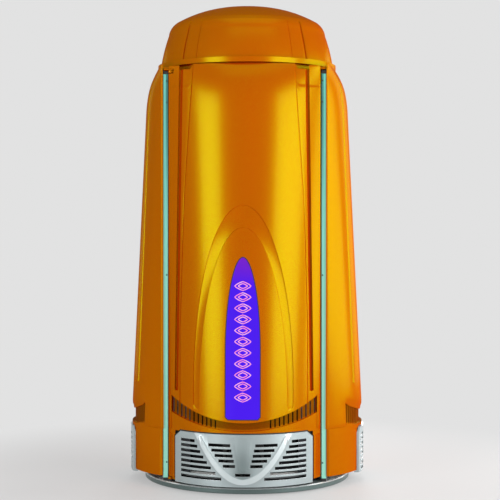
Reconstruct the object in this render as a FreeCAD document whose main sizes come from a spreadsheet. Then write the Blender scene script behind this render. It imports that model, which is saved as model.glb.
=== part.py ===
"""Vertical tanning booth: a walk-in cabin on a round base, with a swinging lamp door.

Units are millimetres. The origin is on the floor under the booth's axis, +Z is up, and the door
faces -Y. Every outer panel is drawn in its own frame, facing -Y, and turned to its side of the
booth. A panel is a stack of arcs that share two upright corner lines, so that its middle swells and
tapers with height while its edges stay straight and parallel to the hinge.
"""
import FreeCAD, Part
import math
import os
import Sketcher
from FreeCAD import Placement, Rotation, Vector

DOC = FreeCAD.newDocument("Booth")
SHEET = DOC.addObject("Spreadsheet::Sheet", "Sizes")
UP = Vector(0, 0, 1)
FRONT, RIGHT, REAR, LEFT = 0, 90, 180, 270
AHEAD, BEHIND = -700, -200  # a cutter's reach in front of a panel and behind it

# ---------------------------------------------------------------------------------------------
# Driving dimensions
# ---------------------------------------------------------------------------------------------
DRIVING = {
    # base
    "foot_height": 6, "foot_radius": 38, "foot_circle": 420, "foot_count": 6,
    "disc_radius": 500, "disc_top": 33, "disc_edge": 4,
    "ring_radius": 438, "ring_inner": 392, "ring_top": 58,
    "floor_radius": 360, "floor_top": 74, "gland_radius": 9, "gland_bore": 5,
    # outer panels: how far the middle stands from the axis at the foot, neck and top
    "wall": 6, "neck": 1780, "panel_foot": 470, "top_level": 1989.8, "door_top": 1985,
    "side_half": 332, "side_corner": 390, "side_foot_reach": 559, "side_neck_reach": 496,
    "door_half": 356, "door_corner": 338, "door_foot_reach": 534, "door_neck_reach": 473,
    "flank_top": 1961, "strip_top": 1981, "smile_low": 336, "smile_radius": 598,
    "door_strip": 340, "door_seam": 287, "side_strip": 250, "side_seam": 280,
    # pressed features of the panels
    "groove_width": 18, "groove_depth": 11, "groove_top_x": 294, "groove_foot_x": 314,
    "groove_foot": 474, "side_groove_x": 178, "side_groove_foot": 486,
    "raise": 2.5, "raise_top_x": 232, "raise_mid_x": 274, "raise_foot_x": 292,
    "arch_outer_half": 230, "arch_outer_top": 1327, "arch_outer_spring": 500,
    "arch_inner_half": 202, "arch_inner_top": 1222, "arch_inner_spring": 430,
    "arch_foot": 405, "arch_depth": 3.5,
    "sign_half": 81, "sign_foot": 350, "sign_spring": 650, "sign_top": 1089, "sign_gap": 2,
    # aprons and grilles
    "apron_bottom": 58, "apron_top": 458, "door_apron_reach": 523, "door_apron_corner": 328,
    "side_apron_reach": 549, "side_apron_corner": 379.5, "seam_gap": 0.4,
    "door_frame_reach": 533, "door_frame_corner": 337, "side_frame_reach": 564,
    "side_frame_corner": 390, "frame_inset": 4, "frame_bevel_x": 333, "frame_bevel_top": 258,
    "frame_bevel_run": 22, "frame_bevel_depth": 60,
    "door_lip_low": 296, "door_lip_radius": 880, "side_lip_low": 267, "side_lip_radius": 1171,
    "vent_count": 11, "vent_pitch": 20.2, "vent_width": 6, "vent_start": 126,
    "door_grille_half": 319, "door_grille_top": 283, "side_grille_half": 150,
    "side_grille_top": 261, "grille_foot": 45, "grille_bevel": 27,
    "grille_proud": 8, "grille_wall": 4, "grille_gap": 5,
    "slot_rows": 8, "slot_pitch": 23.5, "slot_height": 11, "rib_width": 24, "rib_proud": 5,
    "rib_half": 206, "rib_top": 270, "rib_low": 68,
    "keel_top_half": 50, "keel_foot_half": 14, "keel_foot": 118,
    # light fins and frame
    "fin_inner": 362, "fin_outer": 382, "fin_front": 322, "fin_back": 300, "fin_top": 1945,
    "post_front": 300, "post_back": 256, "post_outer": 388, "post_wall": 2,
    # roof
    "deck_low": 1966, "deck_high": 1978, "deck_hole": 150, "deck_front_radius": 404,
    "rim_radius": 437, "rim_low": 1990, "rim_top": 2014, "dome_radius": 425, "dome_base": 1994,
    "dome_knee_radius": 386, "dome_knee": 2160, "dome_brow_radius": 335, "dome_brow": 2228,
    "dome_top": 2299, "dome_wall": 5, "outlet_radius": 130, "outlet_seat": 129, "outlet_level": 2276,
    "dome_groove_x": 299, "dome_groove_top_x": 245, "dome_groove_top": 2205,
    "dome_groove_width": 9, "dome_groove_depth": 7,
    # lamps
    "lamp_radius": 19, "lamp_circle": 408, "lamp_foot": 112, "lamp_length": 1760,
    "lamps_per_wall": 10, "lamps_in_door": 9, "lamp_spread": 64,
    "shield_radius": 376, "shield_wall": 4, "shield_spread": 76,
    "reflector_radius": 440, "reflector_wall": 1.5, "bank_spread": 70, "holder_height": 24,
    "ceiling_level": 1905, "ceiling_wall": 6, "ceiling_radius": 370,
    # door structure and hinge
    "plate_low": 62, "plate_top": 74, "head_plate_low": 1936, "head_plate_top": 1945,
    "door_inside": 262, "handle_x": 268, "handle_radius": 8, "box_depth": 40, "box_wall": 3,
    "hinge_x": -348, "hinge_y": -332, "pin_radius": 6, "pin_clearance": 0.05,
}
for row, (name, value) in enumerate(DRIVING.items(), start=1):
    SHEET.set(f"A{row}", name)
    SHEET.set(f"B{row}", str(value))
    SHEET.setAlias(f"B{row}", name)
DOC.recompute()


def size(name):
    """The value of one driving dimension, read from the sheet."""
    return float(SHEET.get(name))


PARTS = []


def keep(obj, label):
    """Names a finished sub-part and puts it on the list to be written."""
    obj.Label = label
    PARTS.append(obj)
    return obj


def feature(label, shape):
    """A sub-part whose shape comes from Part's own functions."""
    obj = DOC.addObject("Part::Feature", label)
    obj.Shape = shape
    return keep(obj, label)


def at(x, y, z, turn=0):
    """A placement at a point, turned about the vertical."""
    return Placement(Vector(x, y, z), Rotation(UP, turn))


def turned(shape, azimuth):
    """A copy of a shape, turned about the booth's axis. Azimuth 90 carries the front to +X."""
    copy = shape.copy()
    copy.rotate(Vector(), UP, azimuth)
    return copy


def fused(shapes):
    """One shape from several that overlap."""
    return shapes[0].multiFuse(shapes[1:]).removeSplitter() if len(shapes) > 1 else shapes[0]


def box(x0, x1, y0, y1, z0, z1):
    """A block between two corners."""
    return Part.makeBox(x1 - x0, y1 - y0, z1 - z0, Vector(x0, y0, z0))


def paired(x0, x1, y0, y1, z0, z1, side):
    """A block on one side of the middle plane, given by its sizes on the +X side."""
    low, high = sorted((side * x0, side * x1))
    return box(low, high, y0, y1, z0, z1)


def rod(x, y, z0, z1, radius):
    """An upright cylinder."""
    return Part.makeCylinder(radius, z1 - z0, Vector(x, y, z0))


# ---------------------------------------------------------------------------------------------
# Outer panels
# ---------------------------------------------------------------------------------------------
class Panel:
    """A bowed panel that faces -Y, between two upright corner lines.

    Below the neck it is part of a leaning cone. Above the neck a shoulder rolls in to the top.
    """

    def __init__(self, half, corner, reach):
        self.half = half
        self.corner = corner
        self.reach = reach
        self.neck = reach[1][0]

    def reach_at(self, z):
        """How far the panel's middle is from the booth's axis at a height below the neck."""
        (z0, r0), (z1, r1) = self.reach[:2]
        return r0 + (r1 - r0) * (z - z0) / (z1 - z0)

    def circle(self, reach, squash=1.0):
        """Radius and centre of the arc whose middle is at a given reach.

        A squash under 1 gives an ellipse's half depth instead, where its half width is that much less.
        """
        rise = reach - self.corner
        radius = ((self.half / squash) ** 2 + rise ** 2) / (2 * rise)
        return radius, radius - reach

    def cone(self, depth):
        """The round solid whose front is the panel's face, a depth under the surface.

        The front of the cone follows the panel's middle line. Level cuts of a leaning cone are
        ellipses, so the cone is fitted twice: first as if they were circles, then to their squash.
        """
        (z0, r0), (z1, r1) = self.reach[:2]
        if r0 == r1:
            radius, centre = self.circle(r0)
            return rod(0, centre, -200, 2600, radius - depth)
        squash = 1.0
        for _ in range(3):
            width0, width1 = 2 * self.circle(r0, squash)[0], 2 * self.circle(r1, squash)[0]
            apex_z = z0 - width0 * (z1 - z0) / (width1 - width0)
            apex = Vector(0, -r0 + (r0 - r1) * (apex_z - z0) / (z1 - z0), apex_z)
            front = Vector(0, -r1, z1) - apex
            back = Vector(0, width1 - r1, z1) - apex
            axis = front.normalize() + back.normalize()
            axis.normalize()
            half_angle = front.getAngle(axis)
            squash = math.sqrt(1 - (math.sin(axis.getAngle(UP)) / math.cos(half_angle)) ** 2)
        near, far = (z0 - apex_z) * 0.7, (z1 - apex_z) * 1.3
        offset = depth / math.cos(half_angle)
        slope = math.tan(half_angle)
        return Part.makeCone(near * slope - offset, far * slope - offset, far - near,
                             apex + axis * near, axis)

    def point(self, x, z, reach, depth=0):
        """A point at a depth under the surface; a negative depth stands proud."""
        radius, centre = self.circle(reach)
        return Vector(x, centre - math.sqrt((radius - depth) ** 2 - x ** 2), z)

    def section(self, z, reach, outer, inner):
        """The closed outline of a wall at one height of the shoulder."""
        def arc(depth):
            ends = (-self.half, 0, self.half)
            return Part.Arc(*(self.point(x, z, reach, depth) for x in ends)).toShape()

        return Part.Wire([
            arc(outer),
            Part.makeLine(self.point(self.half, z, reach, outer),
                          self.point(self.half, z, reach, inner)),
            arc(inner),
            Part.makeLine(self.point(-self.half, z, reach, inner),
                          self.point(-self.half, z, reach, outer)),
        ])

    def band(self, outer, inner, low, high, backing=None):
        """The solid between two depths and two heights. A backing panel takes the inner depth."""
        room = box(-self.half, self.half, AHEAD, BEHIND, low, min(high, self.neck))
        wall = self.cone(outer).common(room).cut((backing or self).cone(inner))
        if high <= self.neck:
            return wall
        neck_face = max(wall.Faces, key=lambda face: face.CenterOfMass.z)
        levels = [neck_face.OuterWire]
        levels += [self.section(z, reach, outer, inner) for z, reach in self.reach[2:]]
        return wall.fuse(Part.makeLoft(levels, True, True))

    def patch(self, outline, outer, inner, low, high, backing=None):
        """The part of a band that lies behind an outline drawn on the front view."""
        return self.band(outer, inner, low, high, backing).common(outline)


class Wall:
    """One side of the booth: an upper shell, and an apron below it that carries a grille.

    The shell ends in a smile-shaped edge between two strips, which run down to a seam. The apron
    has a vented recess under that edge and, below a lip, a frame that is flush with the strips.
    """

    def __init__(self, name, azimuth, kind, shoulder):
        self.name = name
        self.azimuth = azimuth
        self.kind = kind
        self.shell = tall_panel(kind, shoulder)
        self.apron = upright_panel(kind, "apron")
        self.frame = upright_panel(kind, "frame")
        self.strip = size(f"{kind}_strip")
        self.seam = size(f"{kind}_seam")
        self.lip = size(f"{kind}_lip_low"), size(f"{kind}_lip_radius")
        self.grille_half = size(f"{kind}_grille_half")
        self.grille_top = size(f"{kind}_grille_top")


def front_view(wires):
    """The prism of an outline in the XZ plane, running through the whole panel."""
    shape = Part.Face(wires)
    shape.translate(Vector(0, AHEAD, 0))
    return shape.extrude(Vector(0, BEHIND - AHEAD, 0))


def polygon(points):
    """A closed outline through points given as (x, z)."""
    corners = [Vector(x, 0, z) for x, z in points]
    return Part.makePolygon(corners + corners[:1])


def mirrored(points):
    """A closed outline from the points of its right half, listed upwards."""
    return polygon(points + [(-x, z) for x, z in reversed(points)])


def bevelled(half, low, high, bevel):
    """A rectangle about x 0 whose upper corners are cut off."""
    return mirrored([(half, low), (half, high - bevel), (half - bevel, high)])


def groove_outline(x_top, z_top, x_foot, z_foot, width):
    """A straight groove with a round foot."""
    half = width / 2
    strip = polygon([(x_foot - half, z_foot), (x_foot + half, z_foot),
                     (x_top + half, z_top), (x_top - half, z_top)])
    foot = Part.makeCylinder(half, BEHIND - AHEAD, Vector(x_foot, AHEAD, z_foot), Vector(0, 1, 0))
    return front_view(strip).fuse(foot)


def arched(half, foot, spring, top, corner=0):
    """A tall outline with straight sides, an elliptical head and cut-off lower corners."""
    head = Part.Ellipse(Vector(0, 0, top), Vector(half, 0, spring), Vector(0, 0, spring))
    turn = sorted(head.parameter(Vector(x, 0, spring)) for x in (half, -half))
    arc = head.toShape(*turn)
    if arc.CenterOfMass.z < spring:
        arc = head.toShape(turn[1], turn[0] + 2 * math.pi)
    lower = [(half - corner, foot)] if corner else []
    right = lower + [(half, foot + corner), (half, spring)]
    points = [Vector(-x, 0, z) for x, z in reversed(right)] + [Vector(x, 0, z) for x, z in right]
    lines = [Part.makeLine(a, b) for a, b in zip(points, points[1:])]
    return front_view(Part.Wire(Part.__sortEdges__([arc] + lines)))


def arc_rise(radius, x):
    """How far an arc has risen at a distance from its lowest point."""
    return radius - math.sqrt(radius ** 2 - x ** 2)


def below_arc(low, radius):
    """Everything under a smile-shaped line whose lowest point is at a height."""
    disc = Part.makeCylinder(radius, BEHIND - AHEAD, Vector(0, AHEAD, low + radius),
                             Vector(0, 1, 0))
    return box(-500, 500, AHEAD, BEHIND, low - 400, low + 170).cut(disc)


# The shoulder of each panel, as (height, reach) from the neck up.
SIDE_SHOULDER = [(1867, 486), (1915, 473), (1950, 457), (1974, 442), (size("top_level"), 430)]
DOOR_SHOULDER = [(1867, 464), (1915, 453), (1950, 440), (1970, 431), (size("door_top"), 422)]


def tall_panel(kind, shoulder):
    """The upper shell of one kind of side, from its sizes on the sheet."""
    return Panel(size(f"{'door' if kind == 'door' else 'side'}_half"),
                 size(f"{kind}_corner"),
                 [(size("panel_foot"), size(f"{kind}_foot_reach")),
                  (size("neck"), size(f"{kind}_neck_reach"))] + shoulder)


def upright_panel(kind, layer):
    """The apron or its frame on one kind of side: an upright part of a cylinder."""
    reach = size(f"{kind}_{layer}_reach")
    return Panel(size(f"{kind}_half"), size(f"{kind}_{layer}_corner"),
                 [(size("apron_bottom"), reach), (size("neck"), reach)])


DOOR = Wall("door", FRONT, "door", DOOR_SHOULDER)
FIXED_WALLS = [
    Wall("right", RIGHT, "side", SIDE_SHOULDER),
    Wall("left", LEFT, "side", SIDE_SHOULDER),
    Wall("rear", REAR, "door", DOOR_SHOULDER[:-1] + [(size("top_level"), 420)]),
]


def smile_opening(wall):
    """The space under a shell's smile-shaped edge and between its strips."""
    between = box(-wall.strip, wall.strip, AHEAD, BEHIND, 0, 2000)
    return below_arc(size("smile_low"), size("smile_radius")).common(between)


def make_shell(wall, groove_top_x, groove_foot_x, groove_foot):
    """An upper shell with two pressed grooves and a smile-shaped edge between two strips."""
    thickness, depth, width = size("wall"), size("groove_depth"), size("groove_width")
    panel = wall.shell
    low, high = size("smile_low"), panel.reach[-1][0]
    shell = panel.band(0, thickness, wall.seam, high)
    ends = [(side * groove_top_x, high + 5, side * groove_foot_x, groove_foot)
            for side in (-1, 1)]
    for end in ends:
        bead = groove_outline(*end, width + 2 * thickness)
        shell = shell.fuse(panel.patch(bead, thickness - 1, depth + thickness, low, high))
    for end in ends:
        shell = shell.cut(panel.patch(groove_outline(*end, width), -5, depth, low, high))
    return shell.cut(smile_opening(wall))


def arch_outline():
    """The horseshoe recess: the ring between two arches, with round feet."""
    foot, inner, outer = size("arch_foot"), size("arch_inner_half"), size("arch_outer_half")
    ring = arched(outer, foot, size("arch_outer_spring"), size("arch_outer_top")).cut(
        arched(inner, foot, size("arch_inner_spring"), size("arch_inner_top")))
    toe = (outer - inner) / 2
    for side in (-1, 1):
        place = Vector(side * (inner + toe), AHEAD, foot)
        ring = ring.fuse(Part.makeCylinder(toe, BEHIND - AHEAD, place, Vector(0, 1, 0)))
    return ring


def make_door_shell():
    """The door's main moulding: raised middle, arch recess, two grooves and the sign's opening."""
    panel, raised = DOOR.shell, size("raise")
    low, high = size("smile_low"), size("door_top")
    middle = mirrored([(size("raise_foot_x"), low), (size("raise_foot_x"), 750),
                       (size("raise_mid_x"), 1358), (size("raise_top_x"), high)])
    shell = make_shell(DOOR, size("groove_top_x"), size("groove_foot_x"), size("groove_foot"))
    swell = panel.patch(front_view(middle), -raised, size("wall") / 2, low, high)
    shell = shell.fuse(swell.cut(below_arc(low, size("smile_radius"))))
    recess = panel.patch(arch_outline(), -raised - 3, size("arch_depth") - raised, low, high)
    shell = shell.cut(recess)
    shell = shell.cut(arched(size("sign_half"), size("sign_foot"), size("sign_spring"),
                             size("sign_top"), 12))
    flank_end = size("groove_top_x") + size("groove_width") / 2
    for side in (-1, 1):
        shell = shell.cut(paired(size("raise_top_x") + 6, flank_end, -600, -200,
                                 size("flank_top"), high + 10, side))
        shell = shell.cut(paired(flank_end, 400, -600, -200, size("strip_top"), high + 10, side))
    hinge_corner = box(-360, size("hinge_x") + 17, -360, size("hinge_y") + 16, 1946, 1968)
    feature("door_shell", shell.cut(hinge_corner))


def make_apron(wall):
    """A lower moulding: a vented recess under the shell, and a frame round the grille's seat."""
    low, high, thickness = size("apron_bottom"), size("apron_top"), size("wall")
    panel, seam_gap = wall.apron, size("seam_gap")
    apron = panel.band(0, thickness, low, high)
    inset = panel.half - size("frame_inset")
    middle = below_arc(*wall.lip).common(box(-wall.strip, wall.strip, AHEAD, BEHIND, 0, high))
    strips = box(-inset, inset, AHEAD, BEHIND, low, wall.seam - seam_gap)
    frame = wall.frame.band(0, thickness / 2, low, high - 1, panel).common(middle.fuse(strips))
    if wall.kind == "door":
        frame = frame.cut(fused([frame_bevel(wall, side) for side in (-1, 1)]))
    apron = apron.fuse(frame)
    gap = size("grille_gap")
    seat = bevelled(wall.grille_half + gap, low - 20, wall.grille_top + gap,
                    size("grille_bevel") + gap / 2)
    apron = apron.cut(panel.patch(front_view(seat), -40, 0, low - 2, 300))
    inlet = bevelled(wall.grille_half - 30, low + 18, wall.grille_top - 20, 10)
    apron = apron.cut(front_view(inlet)).cut(fused(vent_slots(wall)))
    above = box(-500, 500, AHEAD, BEHIND, 300, 600).cut(
        below_arc(size("smile_low") + 40, size("smile_radius") + 40))
    zone = wall.shell.band(-5, thickness + 0.5, wall.seam - seam_gap, high + 10)
    inside = wall.strip - seam_gap
    under_smile = below_arc(size("smile_low") - seam_gap, size("smile_radius"))
    behind_edge = zone.cut(under_smile)
    for side in (-1, 1):
        half_plane = paired(0, panel.half + 1, AHEAD, BEHIND, low, high + 20, side)
        strip = zone.common(paired(inside, panel.half + 1, AHEAD, BEHIND, low, high + 20, side))
        apron = apron.cut(behind_edge.common(half_plane)).cut(strip)
    return apron.cut(above)


def frame_bevel(wall, side):
    """What the bevel on one upright edge of a frame takes away, with a sloping upper end."""
    start, top, end = size("frame_bevel_x"), size("frame_bevel_top"), wall.frame.half + 4
    face = wall.frame.point(start, top, wall.frame.reach[0][1]).y
    plan = [Vector(side * start, face, 0), Vector(side * end, face, 0),
            Vector(side * end, face + size("frame_bevel_depth"), 0)]
    foot = Part.makePolygon(plan + plan[:1])
    head = foot.copy()
    tip = foot.copy()
    head.translate(Vector(0, 0, top))
    tip.translate(Vector(side * size("frame_bevel_run"), 0, wall.seam))
    return Part.makeLoft([foot, head, tip], True, True)


def vent_slots(wall):
    """Upright slots between the two smile-shaped lines, on both sides of the middle."""
    cutters = []
    half = size("vent_width") / 2
    for i in range(int(size("vent_count"))):
        x = size("vent_start") + i * size("vent_pitch")
        if x > wall.strip - 2 * half:
            break
        low = wall.lip[0] + arc_rise(wall.lip[1], x) + half
        high = size("smile_low") + arc_rise(size("smile_radius"), x) + half
        cutters += [paired(x - half, x + half, AHEAD, BEHIND, low, high, s) for s in (-1, 1)]
    return cutters


def make_grille(wall):
    """A silver grille: a bevelled tray with louvre slots. A wide one has a V rib and a keel."""
    half, low, high = wall.grille_half, size("grille_foot"), wall.grille_top
    bevel, proud, thickness = size("grille_bevel"), size("grille_proud"), size("grille_wall")
    panel = wall.frame
    tray = panel.patch(front_view(bevelled(half, low, high, bevel)), -proud, 0, low, high + 5,
                       wall.apron)
    hollow = front_view(bevelled(half - thickness, low + thickness, high - thickness,
                                 bevel - thickness / 2))
    tray = tray.cut(panel.patch(hollow, thickness - proud, 2, low, high + 5, wall.apron))
    tray = tray.cut(fused(grille_slots(wall)))
    if wall.kind == "side":
        return tray
    ribs = v_rib().fuse(keel())
    return tray.fuse(panel.patch(ribs, -proud - size("rib_proud"), thickness / 2 - proud,
                                 low, high + 5))


def rib_x(z, offset=0.0):
    """Half width of the V rib at a height: a parabola that is round at the foot."""
    low, top = size("rib_low") - offset, size("rib_top")
    return (size("rib_half") + offset) * math.sqrt(max(0.0, (z - low) / (top - low)))


def v_rib():
    """The V rib's outline, between two parabolas."""
    half, top = size("rib_width") / 2, size("rib_top")
    shapes = []
    for offset in (half, -half):
        low = size("rib_low") - offset
        points = [Vector(rib_x(top, offset) * step / 4, 0, low + (top - low) * (step / 4) ** 2)
                  for step in range(-4, 5)]
        curve = Part.BSplineCurve()
        curve.interpolate(points)
        lid = Part.makeLine(points[-1], points[0])
        shapes.append(front_view(Part.Wire([curve.toShape(), lid])))
    return shapes[0].cut(shapes[1])


def keel_half(z):
    """Half width of the keel at a height."""
    foot, top = size("keel_foot"), size("rib_top")
    wide, narrow = size("keel_top_half"), size("keel_foot_half")
    return narrow + (wide - narrow) * (z - foot) / (top - foot)


def keel():
    """The outline of the tapered keel in the middle of the grille."""
    foot, top = size("keel_foot"), size("rib_top")
    return front_view(mirrored([(keel_half(foot), foot), (keel_half(top), top)]))


def grille_slots(wall):
    """Louvre slots: rows outside the V rib, shorter rows between it and the keel.

    A side's grille has no V rib, so its rows start at the keel's line and cross it at the foot.
    """
    height, pitch, margin = size("slot_height"), size("slot_pitch"), 14
    outer_end = wall.grille_half - 30
    cutters = []
    for row in range(int(size("slot_rows"))):
        z = wall.grille_top - 31 - row * pitch
        if wall.kind == "side":
            start = max(keel_half(z - height), size("keel_foot_half"))
            cutters += [paired(start, outer_end, AHEAD, BEHIND, z - height, z, s) for s in (-1, 1)]
            continue
        start = rib_x(z, size("rib_width") / 2) + margin
        z_in = z - pitch / 2
        inner_start = keel_half(z_in) + margin
        inner_end = rib_x(z_in - height, -size("rib_width") / 2) - margin
        for side in (-1, 1):
            cutters.append(paired(start, outer_end, AHEAD, BEHIND, z - height, z, side))
            if z_in - height > size("keel_foot") and inner_end > inner_start + margin:
                cutters.append(paired(inner_start, inner_end, AHEAD, BEHIND, z_in - height, z_in,
                                      side))
    low = size("rib_low") + 28
    cutters.append(box(-34, 34, AHEAD, BEHIND, low, low + height))
    return cutters


def make_walls():
    """Shells, aprons and grilles of all four sides, and the black seal of the door's grille."""
    for wall in FIXED_WALLS:
        groove = size("side_groove_x")
        shell = make_shell(wall, groove, groove, size("side_groove_foot"))
        feature(f"{wall.name}_shell", turned(shell, wall.azimuth))
        feature(f"{wall.name}_apron", turned(make_apron(wall), wall.azimuth))
        feature(f"{wall.name}_grille", turned(make_grille(wall), wall.azimuth))
    room = size("sign_half") + 15
    feature("door_apron", make_apron(DOOR).cut(box(-room, room, -600, -200, 340, 500)))
    feature("door_grille", make_grille(DOOR))

    half, low, high = DOOR.grille_half, size("apron_bottom"), DOOR.grille_top
    bevel, gap = size("grille_bevel"), size("grille_gap")
    outer = front_view(bevelled(half + gap - 0.4, low, high + gap - 0.4, bevel + gap / 2))
    inner = front_view(bevelled(half + 0.4, low - 3, high + 0.4, bevel))
    feature("grille_seal", DOOR.frame.patch(outer.cut(inner), 3, 0, low, high + 10, DOOR.apron))


def make_sign():
    """The lit sign: a curved acrylic panel in the door shell, its light box and tubes behind."""
    panel, gap = DOOR.shell, size("sign_gap")
    half, foot, spring, top = (size("sign_half"), size("sign_foot"), size("sign_spring"),
                               size("sign_top"))
    low, high = foot - 20, top + 20
    outline = arched(half - gap, foot + gap, spring, top - gap, 12)
    wall, lip, depth = size("wall"), size("box_wall"), size("box_depth")
    feature("sign_panel", panel.patch(outline, -1, wall, low, high))
    housing = panel.patch(arched(half + 12, foot - 8, spring, top + 10, 12), wall, depth, low, high)
    cavity = arched(half + 8, foot - 4, spring, top + 6, 12)
    window = arched(half - 8, foot + 8, spring, top - 10, 12)
    housing = housing.cut(panel.patch(cavity, wall + lip, depth - lip, low, high))
    housing = housing.cut(panel.patch(window, 0, wall + 2 * lip, low, high))
    feature("sign_light_box", housing)
    tubes = []
    for x in (-35, 35):
        start = panel.point(x, 400, panel.reach_at(400), depth - lip - 8)
        end = panel.point(x, 900, panel.reach_at(900), depth - lip - 8)
        tubes.append(Part.makeCylinder(7.8, (end - start).Length, start, end - start))
    feature("sign_tubes", Part.makeCompound(tubes))


# ---------------------------------------------------------------------------------------------
# Base, frame and roof
# ---------------------------------------------------------------------------------------------
def block(name, x, y, z, length, width, height):
    """A block whose corner and sizes are expressions on the sheet."""
    made = DOC.addObject("Part::Box", name)
    cells = {"Length": length, "Width": width, "Height": height,
             "Placement.Base.x": x, "Placement.Base.y": y, "Placement.Base.z": z}
    for prop, expression in cells.items():
        made.setExpression(prop, expression)
    return made


def side_block(name, side, near, far, y, z, width, height):
    """A block on one side of the middle plane, between two distances from that plane."""
    start = near if side > 0 else f"-({far})"
    return block(name, start, y, z, f"{far} - ({near})", width, height)


def group(label, items):
    """One node that holds several separate pieces of a kind."""
    made = DOC.addObject("Part::Compound", label)
    made.Links = items
    return keep(made, label)


def new_body(label):
    """An empty PartDesign body."""
    return keep(DOC.addObject("PartDesign::Body", label), label)


def sketch_on(body, name, level):
    """A sketch on the body's level plane, lifted by an expression on the sheet."""
    ground = next(f for f in body.Origin.OriginFeatures if f.Role == "XY_Plane")
    sketch = body.newObject("Sketcher::SketchObject", name)
    sketch.AttachmentSupport = [(ground, "")]
    sketch.MapMode = "FlatFace"
    sketch.setExpression("AttachmentOffset.Base.z", level)
    return sketch


def circle_in(sketch, radius_cell):
    """A circle about the axis whose radius is bound to a cell of the sheet."""
    index = sketch.addGeometry(Part.Circle(Vector(), UP, size(radius_cell)), False)
    rule = sketch.addConstraint(Sketcher.Constraint("Radius", index, size(radius_cell)))
    sketch.setExpression(f"Constraints[{rule}]", f"Sizes.{radius_cell}")


def pad(body, sketch, length, name):
    """A pad whose length is an expression on the sheet."""
    made = body.newObject("PartDesign::Pad", name)
    made.Profile = sketch
    made.setExpression("Length", length)
    return made


def vented_disc(label, radius_cell, level, thickness, count, near, far, narrow, wide):
    """A round plate with a ring of tapered slots, cut once and repeated about the axis."""
    body = new_body(label)
    outline = sketch_on(body, f"{label}_outline", level)
    circle_in(outline, radius_cell)
    pad(body, outline, thickness, f"{label}_plate")
    slot = sketch_on(body, f"{label}_slot", f"{level} - 1")
    points = [Vector(near, -narrow, 0), Vector(far, -wide, 0),
              Vector(far, wide, 0), Vector(near, narrow, 0)]
    for start, end in zip(points, points[1:] + points[:1]):
        slot.addGeometry(Part.LineSegment(start, end), False)
    DOC.recompute()
    cut = body.newObject("PartDesign::Pocket", f"{label}_cut")
    cut.Profile = slot
    cut.Reversed = True
    cut.setExpression("Length", f"{thickness} + 2")
    DOC.recompute()
    ring = body.newObject("PartDesign::PolarPattern", f"{label}_ring")
    ring.Originals = [cut]
    ring.Axis = (slot, ["N_Axis"])
    ring.Angle = 360
    ring.Occurrences = count
    body.Tip = ring
    return body


def make_base():
    """The round platform, its rubber feet, the dark ring under the walls, and the floor."""
    disc = new_body("base_disc")
    outline = sketch_on(disc, "disc_outline", "Sizes.foot_height")
    circle_in(outline, "disc_radius")
    plate = pad(disc, outline, "Sizes.disc_top - Sizes.foot_height", "disc_plate")
    DOC.recompute()
    edge = disc.newObject("PartDesign::Chamfer", "disc_edge_break")
    rims = [f"Edge{i + 1}" for i, e in enumerate(plate.Shape.Edges) if e.Closed]
    edge.Base = (plate, rims)
    edge.setExpression("Size", "Sizes.disc_edge")

    feet = []
    for i in range(int(size("foot_count"))):
        foot = DOC.addObject("Part::Cone", f"foot_{i}")
        foot.setExpression("Radius1", "Sizes.foot_radius - 3")
        foot.setExpression("Radius2", "Sizes.foot_radius")
        foot.setExpression("Height", "Sizes.foot_height")
        turn = math.radians(30 + 360 / size("foot_count") * i)
        foot.Placement = at(size("foot_circle") * math.cos(turn),
                            size("foot_circle") * math.sin(turn), 0)
        feet.append(foot)
    group("rubber_feet", feet)

    floor = DOC.addObject("Part::Cylinder", "floor_panel")
    floor.setExpression("Radius", "Sizes.floor_radius")
    floor.setExpression("Height", "Sizes.floor_top - Sizes.disc_top")
    floor.setExpression("Placement.Base.z", "Sizes.disc_top")
    keep(floor, "floor_panel")

    ring = rod(0, 0, size("disc_top"), size("ring_top"), size("ring_radius"))
    ring = ring.cut(rod(0, 0, 0, 200, size("ring_inner")))
    feature("base_ring", ring.cut(gland_barrel(300, 500, size("gland_radius"))))
    gland = gland_barrel(size("ring_inner") - 6, size("ring_radius") + 24, size("gland_radius"))
    gland = gland.fuse(gland_barrel(size("ring_radius") + 0.5, size("ring_radius") + 9,
                                    size("gland_radius") + 2.5))
    feature("cable_gland", gland.cut(gland_barrel(300, 500, size("gland_bore"))))


def gland_barrel(near, far, radius):
    """A level cylinder behind the axis, on the line where the supply comes in."""
    level = (size("disc_top") + size("ring_top")) / 2
    return Part.makeCylinder(radius, far - near, Vector(0, near, level), Vector(0, 1, 0))


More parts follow.
